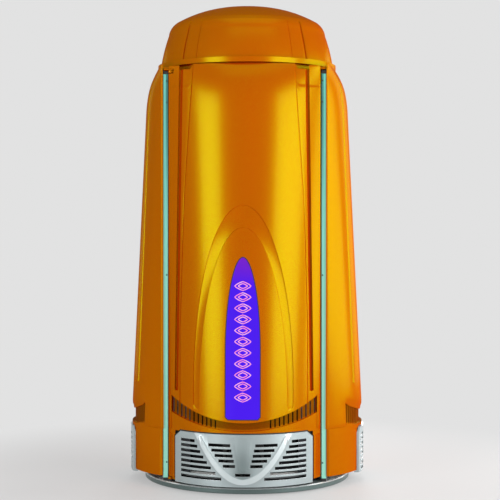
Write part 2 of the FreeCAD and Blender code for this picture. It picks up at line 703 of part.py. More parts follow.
def make_frame():
    """Four upright tubes, the light fins on the front pair with their caps, and rear trims."""
    posts, fins, caps, trims, screws = [], [], [], [], []
    run = "Sizes.deck_low - Sizes.disc_top"
    for side in (-1, 1):
        tag = "left" if side < 0 else "right"
        for end, y in (("front", "-Sizes.post_front"), ("rear", "Sizes.post_back")):
            depth = "Sizes.post_front - Sizes.post_back"
            tube = side_block(f"{end}_{tag}_tube", side, "Sizes.fin_inner", "Sizes.post_outer",
                              y, "Sizes.disc_top", depth, run)
            bore = side_block(f"{end}_{tag}_bore", side, "Sizes.fin_inner + Sizes.post_wall",
                              "Sizes.post_outer - Sizes.post_wall", f"{y} + Sizes.post_wall",
                              "Sizes.disc_top - 1", f"{depth} - 2 * Sizes.post_wall",
                              f"{run} + 2")
            post = DOC.addObject("Part::Cut", f"{end}_{tag}_post")
            post.Base = tube
            post.Tool = bore
            posts.append(post)
        fin = side_block(f"light_fin_{tag}", side, "Sizes.fin_inner", "Sizes.fin_outer",
                         "-Sizes.fin_front", "Sizes.disc_top + 14",
                         "Sizes.fin_front - Sizes.fin_back - 0.2",
                         "Sizes.fin_top - Sizes.disc_top - 14.2")
        fins.append(fin)
        for end, level in (("foot", "Sizes.disc_top"), ("head", "Sizes.fin_top")):
            caps.append(side_block(f"fin_{end}_{tag}", side, "Sizes.fin_inner - 1",
                                   "Sizes.fin_outer + 1", "-Sizes.fin_front - 2", level,
                                   "Sizes.fin_front - Sizes.fin_back + 1.8", "13.8"))
        trims.append(side_block(f"trim_{tag}", side, "Sizes.door_half + 4", "Sizes.fin_outer",
                                "Sizes.fin_back + 0.2", "Sizes.disc_top + 14",
                                "Sizes.fin_front - Sizes.fin_back",
                                "Sizes.deck_low - Sizes.disc_top - 14"))
        for level in (1912, 1812, 1000, 120):
            screw = DOC.addObject("Part::Cylinder", f"screw_{tag}_{level}")
            screw.Radius = 3.5
            screw.Height = 1.8
            screw.Placement = Placement(Vector(side * 366, -size("fin_front"), level),
                                        Rotation(Vector(1, 0, 0), 90))
            screws.append(screw)
    group("frame_posts", posts)
    group("light_fins", fins)
    group("fin_caps", caps)
    group("rear_corner_trims", trims)
    group("fin_screws", screws)


def make_roof():
    """The deck that ties the frame together, with its upstand and the fan's shroud above it."""
    low, high = size("deck_low"), size("deck_high")
    inset = size("wall") + size("groove_depth") + 3
    deck = box(-size("post_outer") + 6, size("post_outer") - 6, -size("post_back") + 4, 600,
               low, high)
    for wall in FIXED_WALLS:
        radius, centre = wall.shell.circle(wall.shell.reach[-1][1])
        plan = rod(0, centre, low, high, radius - inset)
        deck = deck.common(turned(plan, wall.azimuth))
    reach = size("fin_outer") - 26
    ears = [paired(reach, size("fin_outer"), -size("fin_front"), -200, low, high, side)
            for side in (-1, 1)]
    front_disc = rod(0, 0, low, high, size("deck_front_radius"))
    upstand = rod(0, 0, high - 1, size("rim_low"), size("deck_front_radius"))
    upstand = upstand.cut(rod(0, 0, 0, 2100, size("deck_front_radius") - 8))
    deck = fused([deck, front_disc, upstand] + ears)
    feature("roof_deck", deck.cut(rod(0, 0, low - 1, high + 1, size("deck_hole"))))

    vented_disc("ceiling_panel", "ceiling_radius", "Sizes.ceiling_level", "Sizes.ceiling_wall",
                12, 60, 130, 7, 16)

    hole = size("deck_hole")
    shroud = rod(0, 0, high, high + 74, hole + 6).cut(rod(0, 0, 0, 2200, hole - 6))
    hub = rod(0, 0, high + 2, high + 20, 34)
    arm = box(8, hole - 2, -6, 6, high + 4, high + 10)
    feature("exhaust_fan_frame", fused([shroud, hub] + [turned(arm, a) for a in (30, 150, 270)]))


def blade(root, tip, middle, lean):
    """One fan blade: a leaning plate that is widest at its tip."""
    sections = []
    for radius, half in ((root, 14), (tip, 24)):
        rise = half * math.tan(math.radians(lean))
        corners = [Vector(radius, -half, middle - rise - 1.5),
                   Vector(radius, half, middle + rise - 1.5),
                   Vector(radius, half, middle + rise + 1.5),
                   Vector(radius, -half, middle - rise + 1.5)]
        sections.append(Part.makePolygon(corners + corners[:1]))
    return Part.makeLoft(sections, True, True)


def rotor(hub_radius, tip_radius, low, high, blades):
    """A fan rotor about +Z: a hub with leaning blades."""
    first = blade(hub_radius - 5, tip_radius, (low + high) / 2, 28)
    return fused([rod(0, 0, low, high, hub_radius)]
                 + [turned(first, 360 / blades * i) for i in range(blades)])


def make_fans():
    """The exhaust rotor on the roof, and the intake fan behind the door's grille."""
    low = size("deck_high") + 22
    feature("exhaust_rotor", rotor(32, size("deck_hole") - 14, low, low + 34, 7))

    place = Placement(Vector(0, -470, size("plate_top") + 92), Rotation(Vector(1, 0, 0), 90))
    wheel = rotor(24, 74, 0, 22, 7)
    wheel.Placement = place
    feature("intake_rotor", wheel)
    frame = box(-92, 92, -92, 92, -22, 26).cut(rod(0, 0, -40, 40, 83))
    hub = rod(0, 0, -20, -4, 22)
    arms = [turned(box(10, 86, -5, 5, -20, -14), a) for a in (45, 135, 225, 315)]
    housing = fused([frame, hub] + arms)
    housing.Placement = place
    feature("intake_fan_frame", housing)


def revolved(edges):
    """The solid swept about the booth's axis by edges that start away from it and end on it."""
    start, end = edges[0].Vertexes[0].Point, edges[-1].Vertexes[-1].Point
    foot = Vector(0, 0, start.z)
    closing = [Part.makeLine(end, foot), Part.makeLine(foot, start)]
    wire = Part.Wire(Part.__sortEdges__(edges + closing))
    return Part.Face(wire).revolve(Vector(), UP, 360)


def dome_face(depth):
    """The dome's round form, a depth under its outer face."""
    base = Vector(size("dome_radius") - depth, 0, size("dome_base"))
    knee = Vector(size("dome_knee_radius") - depth, 0, size("dome_knee"))
    brow = Vector(size("dome_brow_radius") - depth * 0.6, 0, size("dome_brow") - depth)
    crown = Vector(0, 0, size("dome_top") - depth)
    side_mid = (base + knee) * 0.5 + Vector(5, 0, 0)
    knee_mid = knee + Vector(-13, 0, 37 - depth / 2)
    crown_mid = Vector(190, 0, size("dome_top") - 15 - depth)
    return revolved([Part.Arc(base, side_mid, knee).toShape(),
                     Part.Arc(knee, knee_mid, brow).toShape(),
                     Part.Arc(brow, crown_mid, crown).toShape()])


def dome_hollow():
    """The space inside the dome, with straight facets that keep clear of its grooves."""
    inset = size("dome_wall") + size("dome_groove_depth")
    ledge = size("outlet_level") - 14
    points = [Vector(size("dome_radius") - inset, 0, size("dome_base")),
              Vector(size("dome_knee_radius") - inset, 0, size("dome_knee")),
              Vector(size("dome_brow_radius") - inset - 3, 0, size("dome_brow") - inset),
              Vector(size("outlet_radius") + 20, 0, ledge), Vector(0, 0, ledge)]
    return revolved([Part.makeLine(a, b) for a, b in zip(points, points[1:])])


def make_dome():
    """The roof cover with its pressed grooves, the collar it stands in, and its outlet grille."""
    dome = dome_face(0).cut(dome_hollow())
    half, foot_x = size("dome_groove_width") / 2, size("dome_groove_x")
    top_x, top = size("dome_groove_top_x"), size("dome_groove_top")
    skin = dome_face(-4).cut(dome_face(size("dome_groove_depth")))
    for azimuth in (FRONT, REAR):
        for side in (-1, 1):
            strip = front_view(polygon([
                (side * foot_x - half, 1960), (side * foot_x + half, 1960),
                (side * top_x + half, top), (side * top_x - half, top)]))
            dome = dome.cut(skin.common(turned(strip, azimuth)))
    level = size("outlet_level")
    dome = dome.cut(rod(0, 0, level, 2400, size("outlet_radius")))
    feature("dome", dome.cut(rod(0, 0, 2200, 2400, size("outlet_radius") - 6)))

    rim = rod(0, 0, size("rim_low"), size("rim_top"), size("rim_radius"))
    rim = rim.cut(rod(0, 0, size("dome_base"), 2100, size("dome_radius") + 0.4))
    feature("dome_collar", rim.cut(rod(0, 0, 1900, 2100, size("deck_front_radius") - 8)))
    vented_disc("outlet_grille", "outlet_seat", "Sizes.outlet_level", "Sizes.grille_wall",
                16, 34, 112, 4, 10)


# ---------------------------------------------------------------------------------------------
# Lamps, reflectors and shields
# ---------------------------------------------------------------------------------------------
def arc_sheet(radius, wall, spread, low, high):
    """A curved sheet round the booth's axis, centred on the front."""
    outer = Part.makeCylinder(radius, high - low, Vector(0, 0, low), UP, spread)
    sheet = outer.cut(rod(0, 0, low - 1, high + 1, radius - wall))
    sheet.rotate(Vector(), UP, -90 - spread / 2)
    return sheet


def lamp_bank(count):
    """Upright lamps side by side on an arc, centred on the front."""
    foot, circle = size("lamp_foot"), size("lamp_circle")
    lamps = []
    for i in range(count):
        turn = math.radians(-90 + size("lamp_spread") * (i / (count - 1) - 0.5))
        lamps.append(rod(circle * math.cos(turn), circle * math.sin(turn), foot,
                         foot + size("lamp_length"), size("lamp_radius")))
    return Part.makeCompound(lamps)


def holder_rails(low):
    """The lower and upper lampholder rails of one bank; the lower one stands at a height."""
    foot = size("lamp_foot")
    head = foot + size("lamp_length")
    radius = size("reflector_radius") - size("reflector_wall")
    depth, spread = radius - size("shield_radius"), size("bank_spread")
    return Part.makeCompound([arc_sheet(radius, depth, spread, low, foot),
                              arc_sheet(radius, depth, spread, head, head + size("holder_height"))])


def make_lamps():
    """Lamps, rails, reflectors and clear shields of the fixed walls and of the door."""
    low = size("lamp_foot") - size("holder_height")
    high = size("lamp_foot") + size("lamp_length") + size("holder_height")
    shield = arc_sheet(size("shield_radius"), size("shield_wall"), size("shield_spread"), low, high)
    mirror = arc_sheet(size("reflector_radius"), size("reflector_wall"), size("bank_spread"),
                       low, high)
    groups = {"lamps": lamp_bank(int(size("lamps_per_wall"))),
              "lampholders": holder_rails(size("ring_top")),
              "reflectors": mirror, "shields": shield}
    for name, shape in groups.items():
        banks = [turned(shape, wall.azimuth) for wall in FIXED_WALLS]
        feature(f"cabin_{name}", Part.makeCompound(banks))
    feature("door_lamps", lamp_bank(int(size("lamps_in_door"))))
    feature("door_lampholders", holder_rails(size("plate_top")))
    feature("door_reflector", mirror)
    feature("door_shield", shield)


# ---------------------------------------------------------------------------------------------
# Door structure, hinge and catch
# ---------------------------------------------------------------------------------------------
def door_plate(panel, reach, low, high):
    """A plate that closes the door between its outer moulding and the clear shield."""
    radius, centre = panel.circle(reach)
    plate = rod(0, centre, low, high, radius - 21)
    plate = plate.common(box(-342, 342, -600, -262, low, high))
    return plate.cut(rod(0, 0, 0, 2100, size("shield_radius") + 1))


def bent_bar(points, radius):
    """A round bar along straight runs with mitred corners."""
    path = Part.makePolygon(points)
    profile = Part.Wire(Part.makeCircle(radius, points[0], points[1] - points[0]))
    return path.makePipeShell([profile], True, False, 1)


def make_door_structure():
    """Posts, end plates, edge trims, pivot arms, pull handle, seal and catch plates."""
    x, y = size("hinge_x"), size("hinge_y")
    low_plate, high_plate = size("plate_top"), size("head_plate_low")
    plates = [door_plate(DOOR.apron, size("door_apron_reach"), size("plate_low"), low_plate),
              door_plate(DOOR.shell, 440, high_plate, size("head_plate_top"))]
    feature("door_end_plates", Part.makeCompound(plates))
    frame = []
    inside = size("door_inside")
    for side in (-1, 1):
        tube = paired(312, 340, -inside - 30, -inside - 2, low_plate, high_plate, side)
        frame.append(tube.cut(paired(314, 338, -inside - 28, -inside - 4, 0, 2000, side)))
        frame.append(paired(256, 344, -inside - 2, -inside, low_plate,
                            size("ceiling_level") - 5, side))
    feature("door_frame", Part.makeCompound(frame))

    hole = size("pin_radius") + size("pin_clearance")
    lower = box(x, x + 48, y - 5, y + 5, 43, 54).fuse(rod(x, y, 43, 54, 11))
    lower = lower.fuse(box(x + 18, x + 48, y - 16, y + 2, 43, size("plate_low")))
    upper = box(x, x + 60, y - 5, y + 5, 1950, 1960).fuse(rod(x, y, 1950, 1960, 11))
    upper = upper.fuse(box(x + 34, x + 60, y - 5, y + 50, size("head_plate_top"), 1960))
    bore = rod(x, y, 0, 2100, hole)
    feature("door_pivot_arms", Part.makeCompound([lower.cut(bore), upper.cut(bore)]))

    bar, near, far = size("handle_x"), -inside, 40 - inside
    handle = [Vector(bar, near, 960), Vector(bar, far, 960), Vector(bar, far, 1180),
              Vector(bar, near, 1180)]
    feature("door_pull_handle", bent_bar(handle, size("handle_radius")))
    keep(block("door_seal", "340", "-Sizes.door_inside - 30", "80", "10", "26", "1850"),
         "door_seal")
    levels = (420, 1500)
    group("catch_plates", [block(f"catch_plate_{z}", "322", "-Sizes.door_inside", str(z),
                                 "20", "1.7", "60") for z in levels])
    group("catch_magnets", [block(f"catch_magnet_{z}", "322", "-Sizes.post_back - 4", str(z),
                                  "20", "4", "60") for z in levels])


def make_hinge():
    """The fixed hinge parts: a block on the base and a bracket under the roof, each with a pin."""
    x, y, pin = size("hinge_x"), size("hinge_y"), size("pin_radius")
    block_top = 42.5
    lower = rod(x, y, size("disc_top"), block_top, 15).fuse(rod(x, y, block_top - 1, 53, pin))
    feature("lower_hinge_block", lower)
    outer = -size("fin_outer") + 4
    plate = box(outer, x + 14, y - 12, y + 16, 1962, size("deck_low"))
    plate = plate.fuse(box(outer, -size("fin_inner"), y, -size("post_front"), 1962,
                           size("deck_low")))
    feature("upper_hinge_bracket", plate.fuse(rod(x, y, 1951, 1963, pin)))


# ---------------------------------------------------------------------------------------------
# Inside: pillar covers, controls, grips and ballasts
# ---------------------------------------------------------------------------------------------
CONTROL_AZIMUTH = 135
BUTTONS = (("start_button", -25), ("fan_button", 0), ("stop_button", 25))
BUTTON_LEVEL = 1205
CONSOLE_BACK, CONSOLE_FRONT = -360, -348


def make_controls():
    """The control panel on a rear pillar, with its display window and three push buttons."""
    console = box(-40, 40, CONSOLE_BACK, CONSOLE_FRONT, 1180, 1360)
    for _, x in BUTTONS:
        console = console.cut(Part.makeCylinder(9.6, 30, Vector(x, -370, BUTTON_LEVEL),
                                                Vector(0, 1, 0)))
    console = console.cut(box(-30, 30, CONSOLE_FRONT - 3, 0, 1260, 1340))
    feature("control_panel", turned(console, CONTROL_AZIMUTH))
    window = box(-29.6, 29.6, CONSOLE_FRONT - 3, CONSOLE_FRONT - 0.5, 1260.4, 1339.6)
    feature("display_window", turned(window, CONTROL_AZIMUTH))
    for name, x in BUTTONS:
        button = Part.makeCylinder(9, 10, Vector(x, CONSOLE_FRONT - 7, BUTTON_LEVEL),
                                   Vector(0, 1, 0))
        feature(name, turned(button, CONTROL_AZIMUTH))


def make_inside():
    """Corner covers, ceiling grips, and the lamps' ballasts under the dome."""
    high, face = size("ceiling_level"), -size("post_back")
    rear_cover = box(-46, 46, CONSOLE_BACK - 6, CONSOLE_BACK, size("disc_top"), high)
    covers = [turned(rear_cover, azimuth) for azimuth in (135, 225)]
    low = size("ring_top")
    for side in (-1, 1):
        cover = paired(294, 386, face, face + 3, low, high, side)
        covers.append(cover.fuse(paired(294, 297, face, face + 16, low, high, side)))
    feature("pillar_covers", Part.makeCompound(covers))

    level = size("ceiling_level")
    grips = []
    for x in (-215, 215):
        corners = [Vector(x, 20, level), Vector(x, 20, level - 80),
                   Vector(x, 150, level - 80), Vector(x, 150, level)]
        grips.append(bent_bar(corners, 11))
    feature("ceiling_grips", Part.makeCompound(grips))

    choke = box(-34, 34, -330, -190, size("deck_high"), size("deck_high") + 56)
    spread = [turned(choke, azimuth) for azimuth in range(60, 301, 30)]
    feature("ballasts", Part.makeCompound(spread))


# ---------------------------------------------------------------------------------------------
# Build, check and write
# ---------------------------------------------------------------------------------------------
def check():
    """Stops if an object failed or a sub-part is not a sound solid."""
    for obj in DOC.Objects:
        if {"Invalid", "Error"} & set(obj.State):
            raise RuntimeError(f"{obj.Label} did not build: {obj.State}")
    for obj in PARTS:
        shape = obj.Shape
        if shape.isNull() or not shape.isValid() or not shape.Solids or shape.Volume <= 0:
            raise RuntimeError(f"{obj.Label} is not a sound solid")


def write():
    """Writes each sub-part to its own STEP file."""
    os.makedirs("parts", exist_ok=True)
    for obj in PARTS:
        obj.Shape.exportStep(os.path.join("parts", f"{obj.Label}.step"))


make_door_shell()
make_walls()
make_sign()
make_base()
make_frame()
make_roof()
make_fans()
make_dome()
make_lamps()
make_door_structure()
make_hinge()
make_controls()
make_inside()
DOC.recompute()
check()
write()
print(len(PARTS), "sub-parts")
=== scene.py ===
"""A vertical tanning booth: finishes, lacquered mouldings and light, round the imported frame.

Mouldings, beads and patterns are drawn in millimetres. Finishes, the studio and every finished
mesh are in metres. +Z is up, the door faces -Y, and the origin is on the floor under the booth's
axis.
"""
from __future__ import annotations

import logging
import math
from dataclasses import dataclass
from enum import Enum
from typing import Any, Callable, Union

import bpy
from mathutils import Matrix, Vector

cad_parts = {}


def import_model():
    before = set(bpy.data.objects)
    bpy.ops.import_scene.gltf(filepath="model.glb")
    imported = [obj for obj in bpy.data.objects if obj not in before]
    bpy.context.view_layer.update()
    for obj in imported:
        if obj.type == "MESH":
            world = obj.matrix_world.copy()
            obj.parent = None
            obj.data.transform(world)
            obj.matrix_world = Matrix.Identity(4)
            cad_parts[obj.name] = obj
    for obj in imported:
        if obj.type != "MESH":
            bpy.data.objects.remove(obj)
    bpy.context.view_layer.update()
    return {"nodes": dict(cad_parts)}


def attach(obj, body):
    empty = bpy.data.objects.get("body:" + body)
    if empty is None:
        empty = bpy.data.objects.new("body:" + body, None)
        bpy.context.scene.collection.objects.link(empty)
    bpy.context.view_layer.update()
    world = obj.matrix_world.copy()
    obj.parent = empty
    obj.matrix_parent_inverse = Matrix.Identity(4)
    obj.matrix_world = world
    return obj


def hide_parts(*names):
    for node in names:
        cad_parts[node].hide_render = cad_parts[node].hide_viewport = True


log = logging.getLogger("booth")

Colour = tuple[float, float, float]
Spot = tuple[float, float]
CABIN = "cabin"
DOOR = "door"


# ------------------------------------------------------------------------------------------
# Node trees and shader maths
# ------------------------------------------------------------------------------------------
class NodeTree:
    """A node tree whose nodes are added, set up and fed in one call."""

    def __init__(self, tree: bpy.types.NodeTree) -> None:
        """Wraps a tree."""
        self.tree = tree

    def node(self, kind: str, settings: dict[str, Any] | None = None,
             inputs: dict[Any, Any] | None = None) -> bpy.types.Node:
        """Adds a node.

        Args:
            kind: The node's type.
            settings: Properties by name.
            inputs: Values, sockets or plain defaults, by socket name or index.

        Returns:
            The node.
        """
        made = self.tree.nodes.new(kind)
        for name, setting in (settings or {}).items():
            setattr(made, name, setting)
        for key, feed in (inputs or {}).items():
            socket = made.inputs[key]
            feed = feed.socket if isinstance(feed, Value) else feed
            if isinstance(feed, bpy.types.NodeSocket):
                self.tree.links.new(feed, socket)
            elif isinstance(feed, tuple) and len(feed) == 3 and socket.type == "RGBA":
                socket.default_value = (*feed, 1.0)
            else:
                socket.default_value = feed
        return made

    def mixed(self, share: Operand, first: bpy.types.NodeSocket,
              second: bpy.types.NodeSocket) -> bpy.types.NodeSocket:
        """A mix of two shaders: all of the first at 0, all of the second at 1."""
        inputs = {0: share, 1: first, 2: second}
        return self.node("ShaderNodeMixShader", inputs=inputs).outputs[0]

    def seen_ray(self) -> bpy.types.NodeSocket:
        """1 for camera, mirror and glass rays, and 0 for the rays that light the object."""
        rays = self.node("ShaderNodeLightPath").outputs
        seen = rays["Is Camera Ray"]
        for name in ("Is Glossy Ray", "Is Transmission Ray"):
            seen = self.node("ShaderNodeMath", {"operation": "MAXIMUM"},
                             {0: seen, 1: rays[name]}).outputs[0]
        return seen


def operator(operation: str, swapped: bool = False) -> Callable[[Value, Operand], Value]:
    """An arithmetic operator of Value.

    Args:
        operation: The Math node's operation.
        swapped: Whether the value stands on the right of the sign.

    Returns:
        The method.
    """
    def apply(value: Value, other: Operand) -> Value:
        """Adds the Math node."""
        return value.maths(operation, *((other, value) if swapped else (value, other)))
    return apply


class Value:
    """A number on a node's output, for use in ordinary expressions."""

    __add__, __radd__ = operator("ADD"), operator("ADD", True)
    __sub__, __rsub__ = operator("SUBTRACT"), operator("SUBTRACT", True)
    __mul__, __rmul__ = operator("MULTIPLY"), operator("MULTIPLY", True)
    __truediv__ = operator("DIVIDE")

    def __init__(self, shader: Shader, socket: bpy.types.NodeSocket) -> None:
        """Wraps one output socket."""
        self.shader = shader
        self.socket = socket

    def maths(self, operation: str, first: Operand, second: Operand) -> Value:
        """Adds a Math node and returns its result."""
        node = self.shader.node("ShaderNodeMath", {"operation": operation}, {0: first, 1: second})
        return Value(self.shader, node.outputs[0])

    def __abs__(self) -> Value:
        """The size of the value."""
        return self.maths("ABSOLUTE", self, 0.0)

    def step(self, low: float, high: float) -> Value:
        """A smooth step.

        Args:
            low: Where the result is 0.
            high: Where the result is 1; it may lie under low.

        Returns:
            A value from 0 to 1.
        """
        node = self.shader.node("ShaderNodeMapRange", {"interpolation_type": "SMOOTHSTEP"},
                                {"Value": self, "From Min": low, "From Max": high})
        return Value(self.shader, node.outputs[0])


Operand = Union[Value, float, int]


class Shader(NodeTree):
    """One material and the nodes that make it."""

    def __init__(self, name: str) -> None:
        """Starts an empty material."""
        self.material = bpy.data.materials.new(name)
        self.material.use_nodes = True
        super().__init__(self.material.node_tree)
        self.tree.nodes.clear()

    def place(self) -> bpy.types.NodeSocket:
        """The point being shaded, in the frame's metres."""
        return self.node("ShaderNodeTexCoord").outputs["Object"]

    def axes(self) -> tuple[Value, Value, Value]:
        """The three coordinates of the point being shaded."""
        split = self.node("ShaderNodeSeparateXYZ", inputs={0: self.place()})
        return tuple(Value(self, socket) for socket in split.outputs)

    def noise(self, scale: float, detail: float = 2.0, stretch: Colour = (1, 1, 1)) -> Value:
        """Noise over the frame.

        Args:
            scale: Features per metre.
            detail: Octaves.
            stretch: How much faster the noise runs along each axis.

        Returns:
            A value round one half.
        """
        mapped = self.node("ShaderNodeMapping", inputs={"Vector": self.place(), "Scale": stretch})
        node = self.node("ShaderNodeTexNoise", inputs={
            "Vector": mapped.outputs[0], "Scale": scale, "Detail": detail})
        return Value(self, node.outputs["Fac"])

    def blend(self, amount: Operand, first: Any, second: Any) -> bpy.types.NodeSocket:
        """A mix of two colours.

        Args:
            amount: 0 for the first colour, 1 for the second.
            first: A colour or a colour socket.
            second: A colour or a colour socket.

        Returns:
            The colour socket.
        """
        node = self.node("ShaderNodeMix", {"data_type": "RGBA"}, {0: amount, 6: first, 7: second})
        return node.outputs[2]

    def bump(self, height: Value, depth: float) -> bpy.types.NodeSocket:
        """A bump.

        Args:
            height: The relief, from 0 to 1.
            depth: How deep the relief is, in metres.

        Returns:
            The normal socket.
        """
        node = self.node("ShaderNodeBump", inputs={
            "Strength": 1.0, "Distance": depth, "Height": height})
        return node.outputs[0]

    def facing(self) -> tuple[Value, Value, Value, Value]:
        """The three coordinates, and 1 on the front and rear walls but 0 on the sides."""
        x, y, z = self.axes()
        return x, y, z, (abs(y) - abs(x)).step(-0.002, 0.002)

    def surface(self, settings: dict[str, Any]) -> bpy.types.NodeSocket:
        """A Principled shader with the given sockets."""
        return self.node("ShaderNodeBsdfPrincipled", {}, settings).outputs[0]

    def finish(self, socket: bpy.types.NodeSocket) -> bpy.types.Material:
        """Feeds the material's output and returns the material."""
        self.node("ShaderNodeOutputMaterial", inputs={"Surface": socket})
        return self.material


# ------------------------------------------------------------------------------------------
# Finishes
# ------------------------------------------------------------------------------------------
@dataclass(frozen=True)
class Finish:
    """A material that is one Principled shader."""

    name: str

    def sockets(self, shader: Shader) -> dict[str, Any]:
        """What feeds the sockets of the Principled shader."""
        raise NotImplementedError

    def build(self) -> bpy.types.Material:
        """Makes the material."""
        shader = Shader(self.name)
        return shader.finish(shader.surface(self.sockets(shader)))


@dataclass(frozen=True)
class PearlLacquer(Finish):
    """Orange lacquer with a gold pearl, under a clear coat, and on the lower mouldings painted
    shade behind the grille and in the vented recess.
    """

    name: str = "pearl_lacquer"
    ground: Colour = (0.50, 0.042, 0.0003)
    shade: Colour = (0.45, 0.035, 0.0003)
    pearl: Colour = (0.64, 0.90, 0.004)
    pearl_share: float = 0.125
    pearl_roughness: float = 0.27
    coat: float = 0.02
    coat_roughness: float = 0.07
    # Painted shade: black where a lower moulding lies behind its grille, and the lacquer's tone
    # darkened in the vented recess.
    paints_seat_shade: bool = False
    seat_painted_shade: Colour = (0.006, 0.006, 0.007)
    recess_painted_shade: float = 0.42
    # Side walls and wide walls: the grille's half width and top; the recess's low edge, its bow
    # and its half width.
    seat_sizes: tuple[Spot, ...] = (
        (0.151, 0.320), (0.259, 0.281), (0.267, 0.296), (0.433, 0.581), (0.250, 0.338))

    def seat(self, shader: Shader) -> tuple[Value, Value]:
        """Masks of the painted shade: where a lower moulding lies behind its grille, and where it
        lies in the vented recess.
        """
        x, y, z, wide = shader.facing()
        across = wide * abs(x) + (1.0 - wide) * abs(y)
        half, top, low, bow, strip = (
            narrow + wide * (wider - narrow) for narrow, wider in self.seat_sizes)
        behind = (half - across).step(-0.001, 0.001) * (top - z).step(-0.001, 0.001)
        lip = low + across * across * bow
        recess = (z - lip).step(0.0, 0.012) * (strip - across).step(-0.001, 0.002)
        return behind, recess

    def build(self) -> bpy.types.Material:
        """Makes the material."""
        shader = Shader(self.name)
        flakes = shader.noise(1400, 1)
        clouds = shader.noise(1.7, 3, (1, 1, 0.35))
        ground = shader.blend(clouds.step(0.35, 0.65), self.ground, self.shade)
        share: Operand = self.pearl_share
        # Painted shade: black behind the grille and a darker tone in the vented recess, with less
        # pearl gloss in both.
        if self.paints_seat_shade:
            behind, recess = self.seat(shader)
            deep = tuple(channel * self.recess_painted_shade for channel in self.shade)
            ground = shader.blend(behind, shader.blend(recess, ground, deep), self.seat_painted_shade)
            share = share * (1.0 - behind) * (1.0 - 0.6 * recess)
        roughness = self.pearl_roughness + 0.10 * (flakes - 0.5) + 0.05 * (clouds - 0.5)
        peel = shader.bump(shader.noise(95, 2), 0.00012)
        coat = {"Coat Weight": self.coat, "Coat Roughness": self.coat_roughness, "Normal": peel}
        lacquer = shader.surface({"Base Color": ground, "Roughness": 0.42,
                                  "Specular IOR Level": 0.0, **coat})
        pearl = shader.surface({"Base Color": self.pearl, "Metallic": 1.0, "Roughness": roughness,
                                "Specular Tint": (0.75, 0.62, 0.10, 1.0), **coat})
        return shader.finish(shader.mixed(share, lacquer, pearl))


@dataclass(frozen=True)
class ShadeBackedMirror(Finish):
    """A polished sheet on the door whose convex back is black: painted shade that keeps the inside
    behind the apron dark.
    """

    name: str = "shade_backed_mirror"
    colour: Colour = (0.86, 0.88, 0.90)
    # The colour of the painted shade on the convex back.
    paint: Colour = (0.004, 0.004, 0.005)
    inner: float = 0.4388
    outer: float = 0.4394

    def sockets(self, shader: Shader) -> dict[str, Any]:
        """What feeds the sockets of the Principled shader."""
        x, y, _ = shader.axes()
        # Painted shade: black and rough on the convex back.
        back = (x * x + y * y).step(self.inner ** 2, self.outer ** 2)
        haze = shader.noise(220, 2)
        return {
            "Base Color": shader.blend(back, self.colour, self.paint), "Metallic": 1.0 - back,
            "Roughness": 0.10 + 0.06 * haze + 0.5 * back, "Specular IOR Level": 0.2}


@dataclass(frozen=True)
class Metal(Finish):
    """A metal or metallic paint with fine brushing and soft wear."""

    colour: Colour
    roughness: float = 0.35
    metallic: float = 1.0
    grain: float = 400.0
    stretch: Colour = (1, 1, 1)
    depth: float = 0.00002
    coat: float = 0.0

    def sockets(self, shader: Shader) -> dict[str, Any]:
        """What feeds the sockets of the Principled shader."""
        grain = shader.noise(self.grain, 2, self.stretch)
        patches = shader.noise(6, 3)
        darker = tuple(channel * 0.82 for channel in self.colour)
        colour = shader.blend(patches.step(0.3, 0.75), self.colour, darker)
        roughness = self.roughness + 0.12 * (grain - 0.5) + 0.06 * (patches - 0.5)
        return {
            "Base Color": colour, "Metallic": self.metallic, "Roughness": roughness,
            "Coat Weight": self.coat, "Normal": shader.bump(grain, self.depth)}


@dataclass(frozen=True)
class Moulded(Finish):
    """Moulded plastic or rubber with a fine grain."""

    colour: Colour
    roughness: float = 0.45
    grain: float = 900.0
    depth: float = 0.00006
    coat: float = 0.0

    def sockets(self, shader: Shader) -> dict[str, Any]:
        """What feeds the sockets of the Principled shader."""
        grain = shader.noise(self.grain, 3)
        patches = shader.noise(9, 3)
        paler = tuple(channel * 1.25 + 0.004 for channel in self.colour)
        colour = shader.blend(patches.step(0.35, 0.8), self.colour, paler)
        roughness = self.roughness + 0.10 * (patches - 0.5)
        return {
            "Base Color": colour, "Roughness": roughness, "Coat Weight": self.coat,
            "Coat Roughness": 0.06, "Normal": shader.bump(grain, self.depth)}


@dataclass(frozen=True)
class EdgeLitAcrylic(Finish):
    """Teal acrylic bar lit from its foot, with painted shade on its inner half near the top."""

    name: str = "edge_lit_acrylic"
    pale: Colour = (0.22, 0.56, 0.44)
    teal: Colour = (0.13, 0.50, 0.41)
    # The colour of the painted shade on the inner half near the top.
    deep: Colour = (0.01, 0.10, 0.09)
    glow: float = 0.50

    def sockets(self, shader: Shader) -> dict[str, Any]:
        """What feeds the sockets of the Principled shader."""
        across, _, height = shader.axes()
        rise = height.step(0.6, 1.9)
        colour = shader.blend(rise, self.pale, self.teal)
        # Painted shade: the inner half darkens towards the top.
        inner = abs(across).step(0.3725, 0.3700) * height.step(1.15, 1.85)
        colour = shader.blend(inner * 0.8, colour, self.deep)
        streaks = shader.noise(30, 2, (1, 1, 0.1))
        return {
            "Base Color": colour, "Roughness": 0.16 + 0.1 * streaks, "Coat Weight": 0.2,
            "Emission Color": colour, "Emission Strength": self.glow}


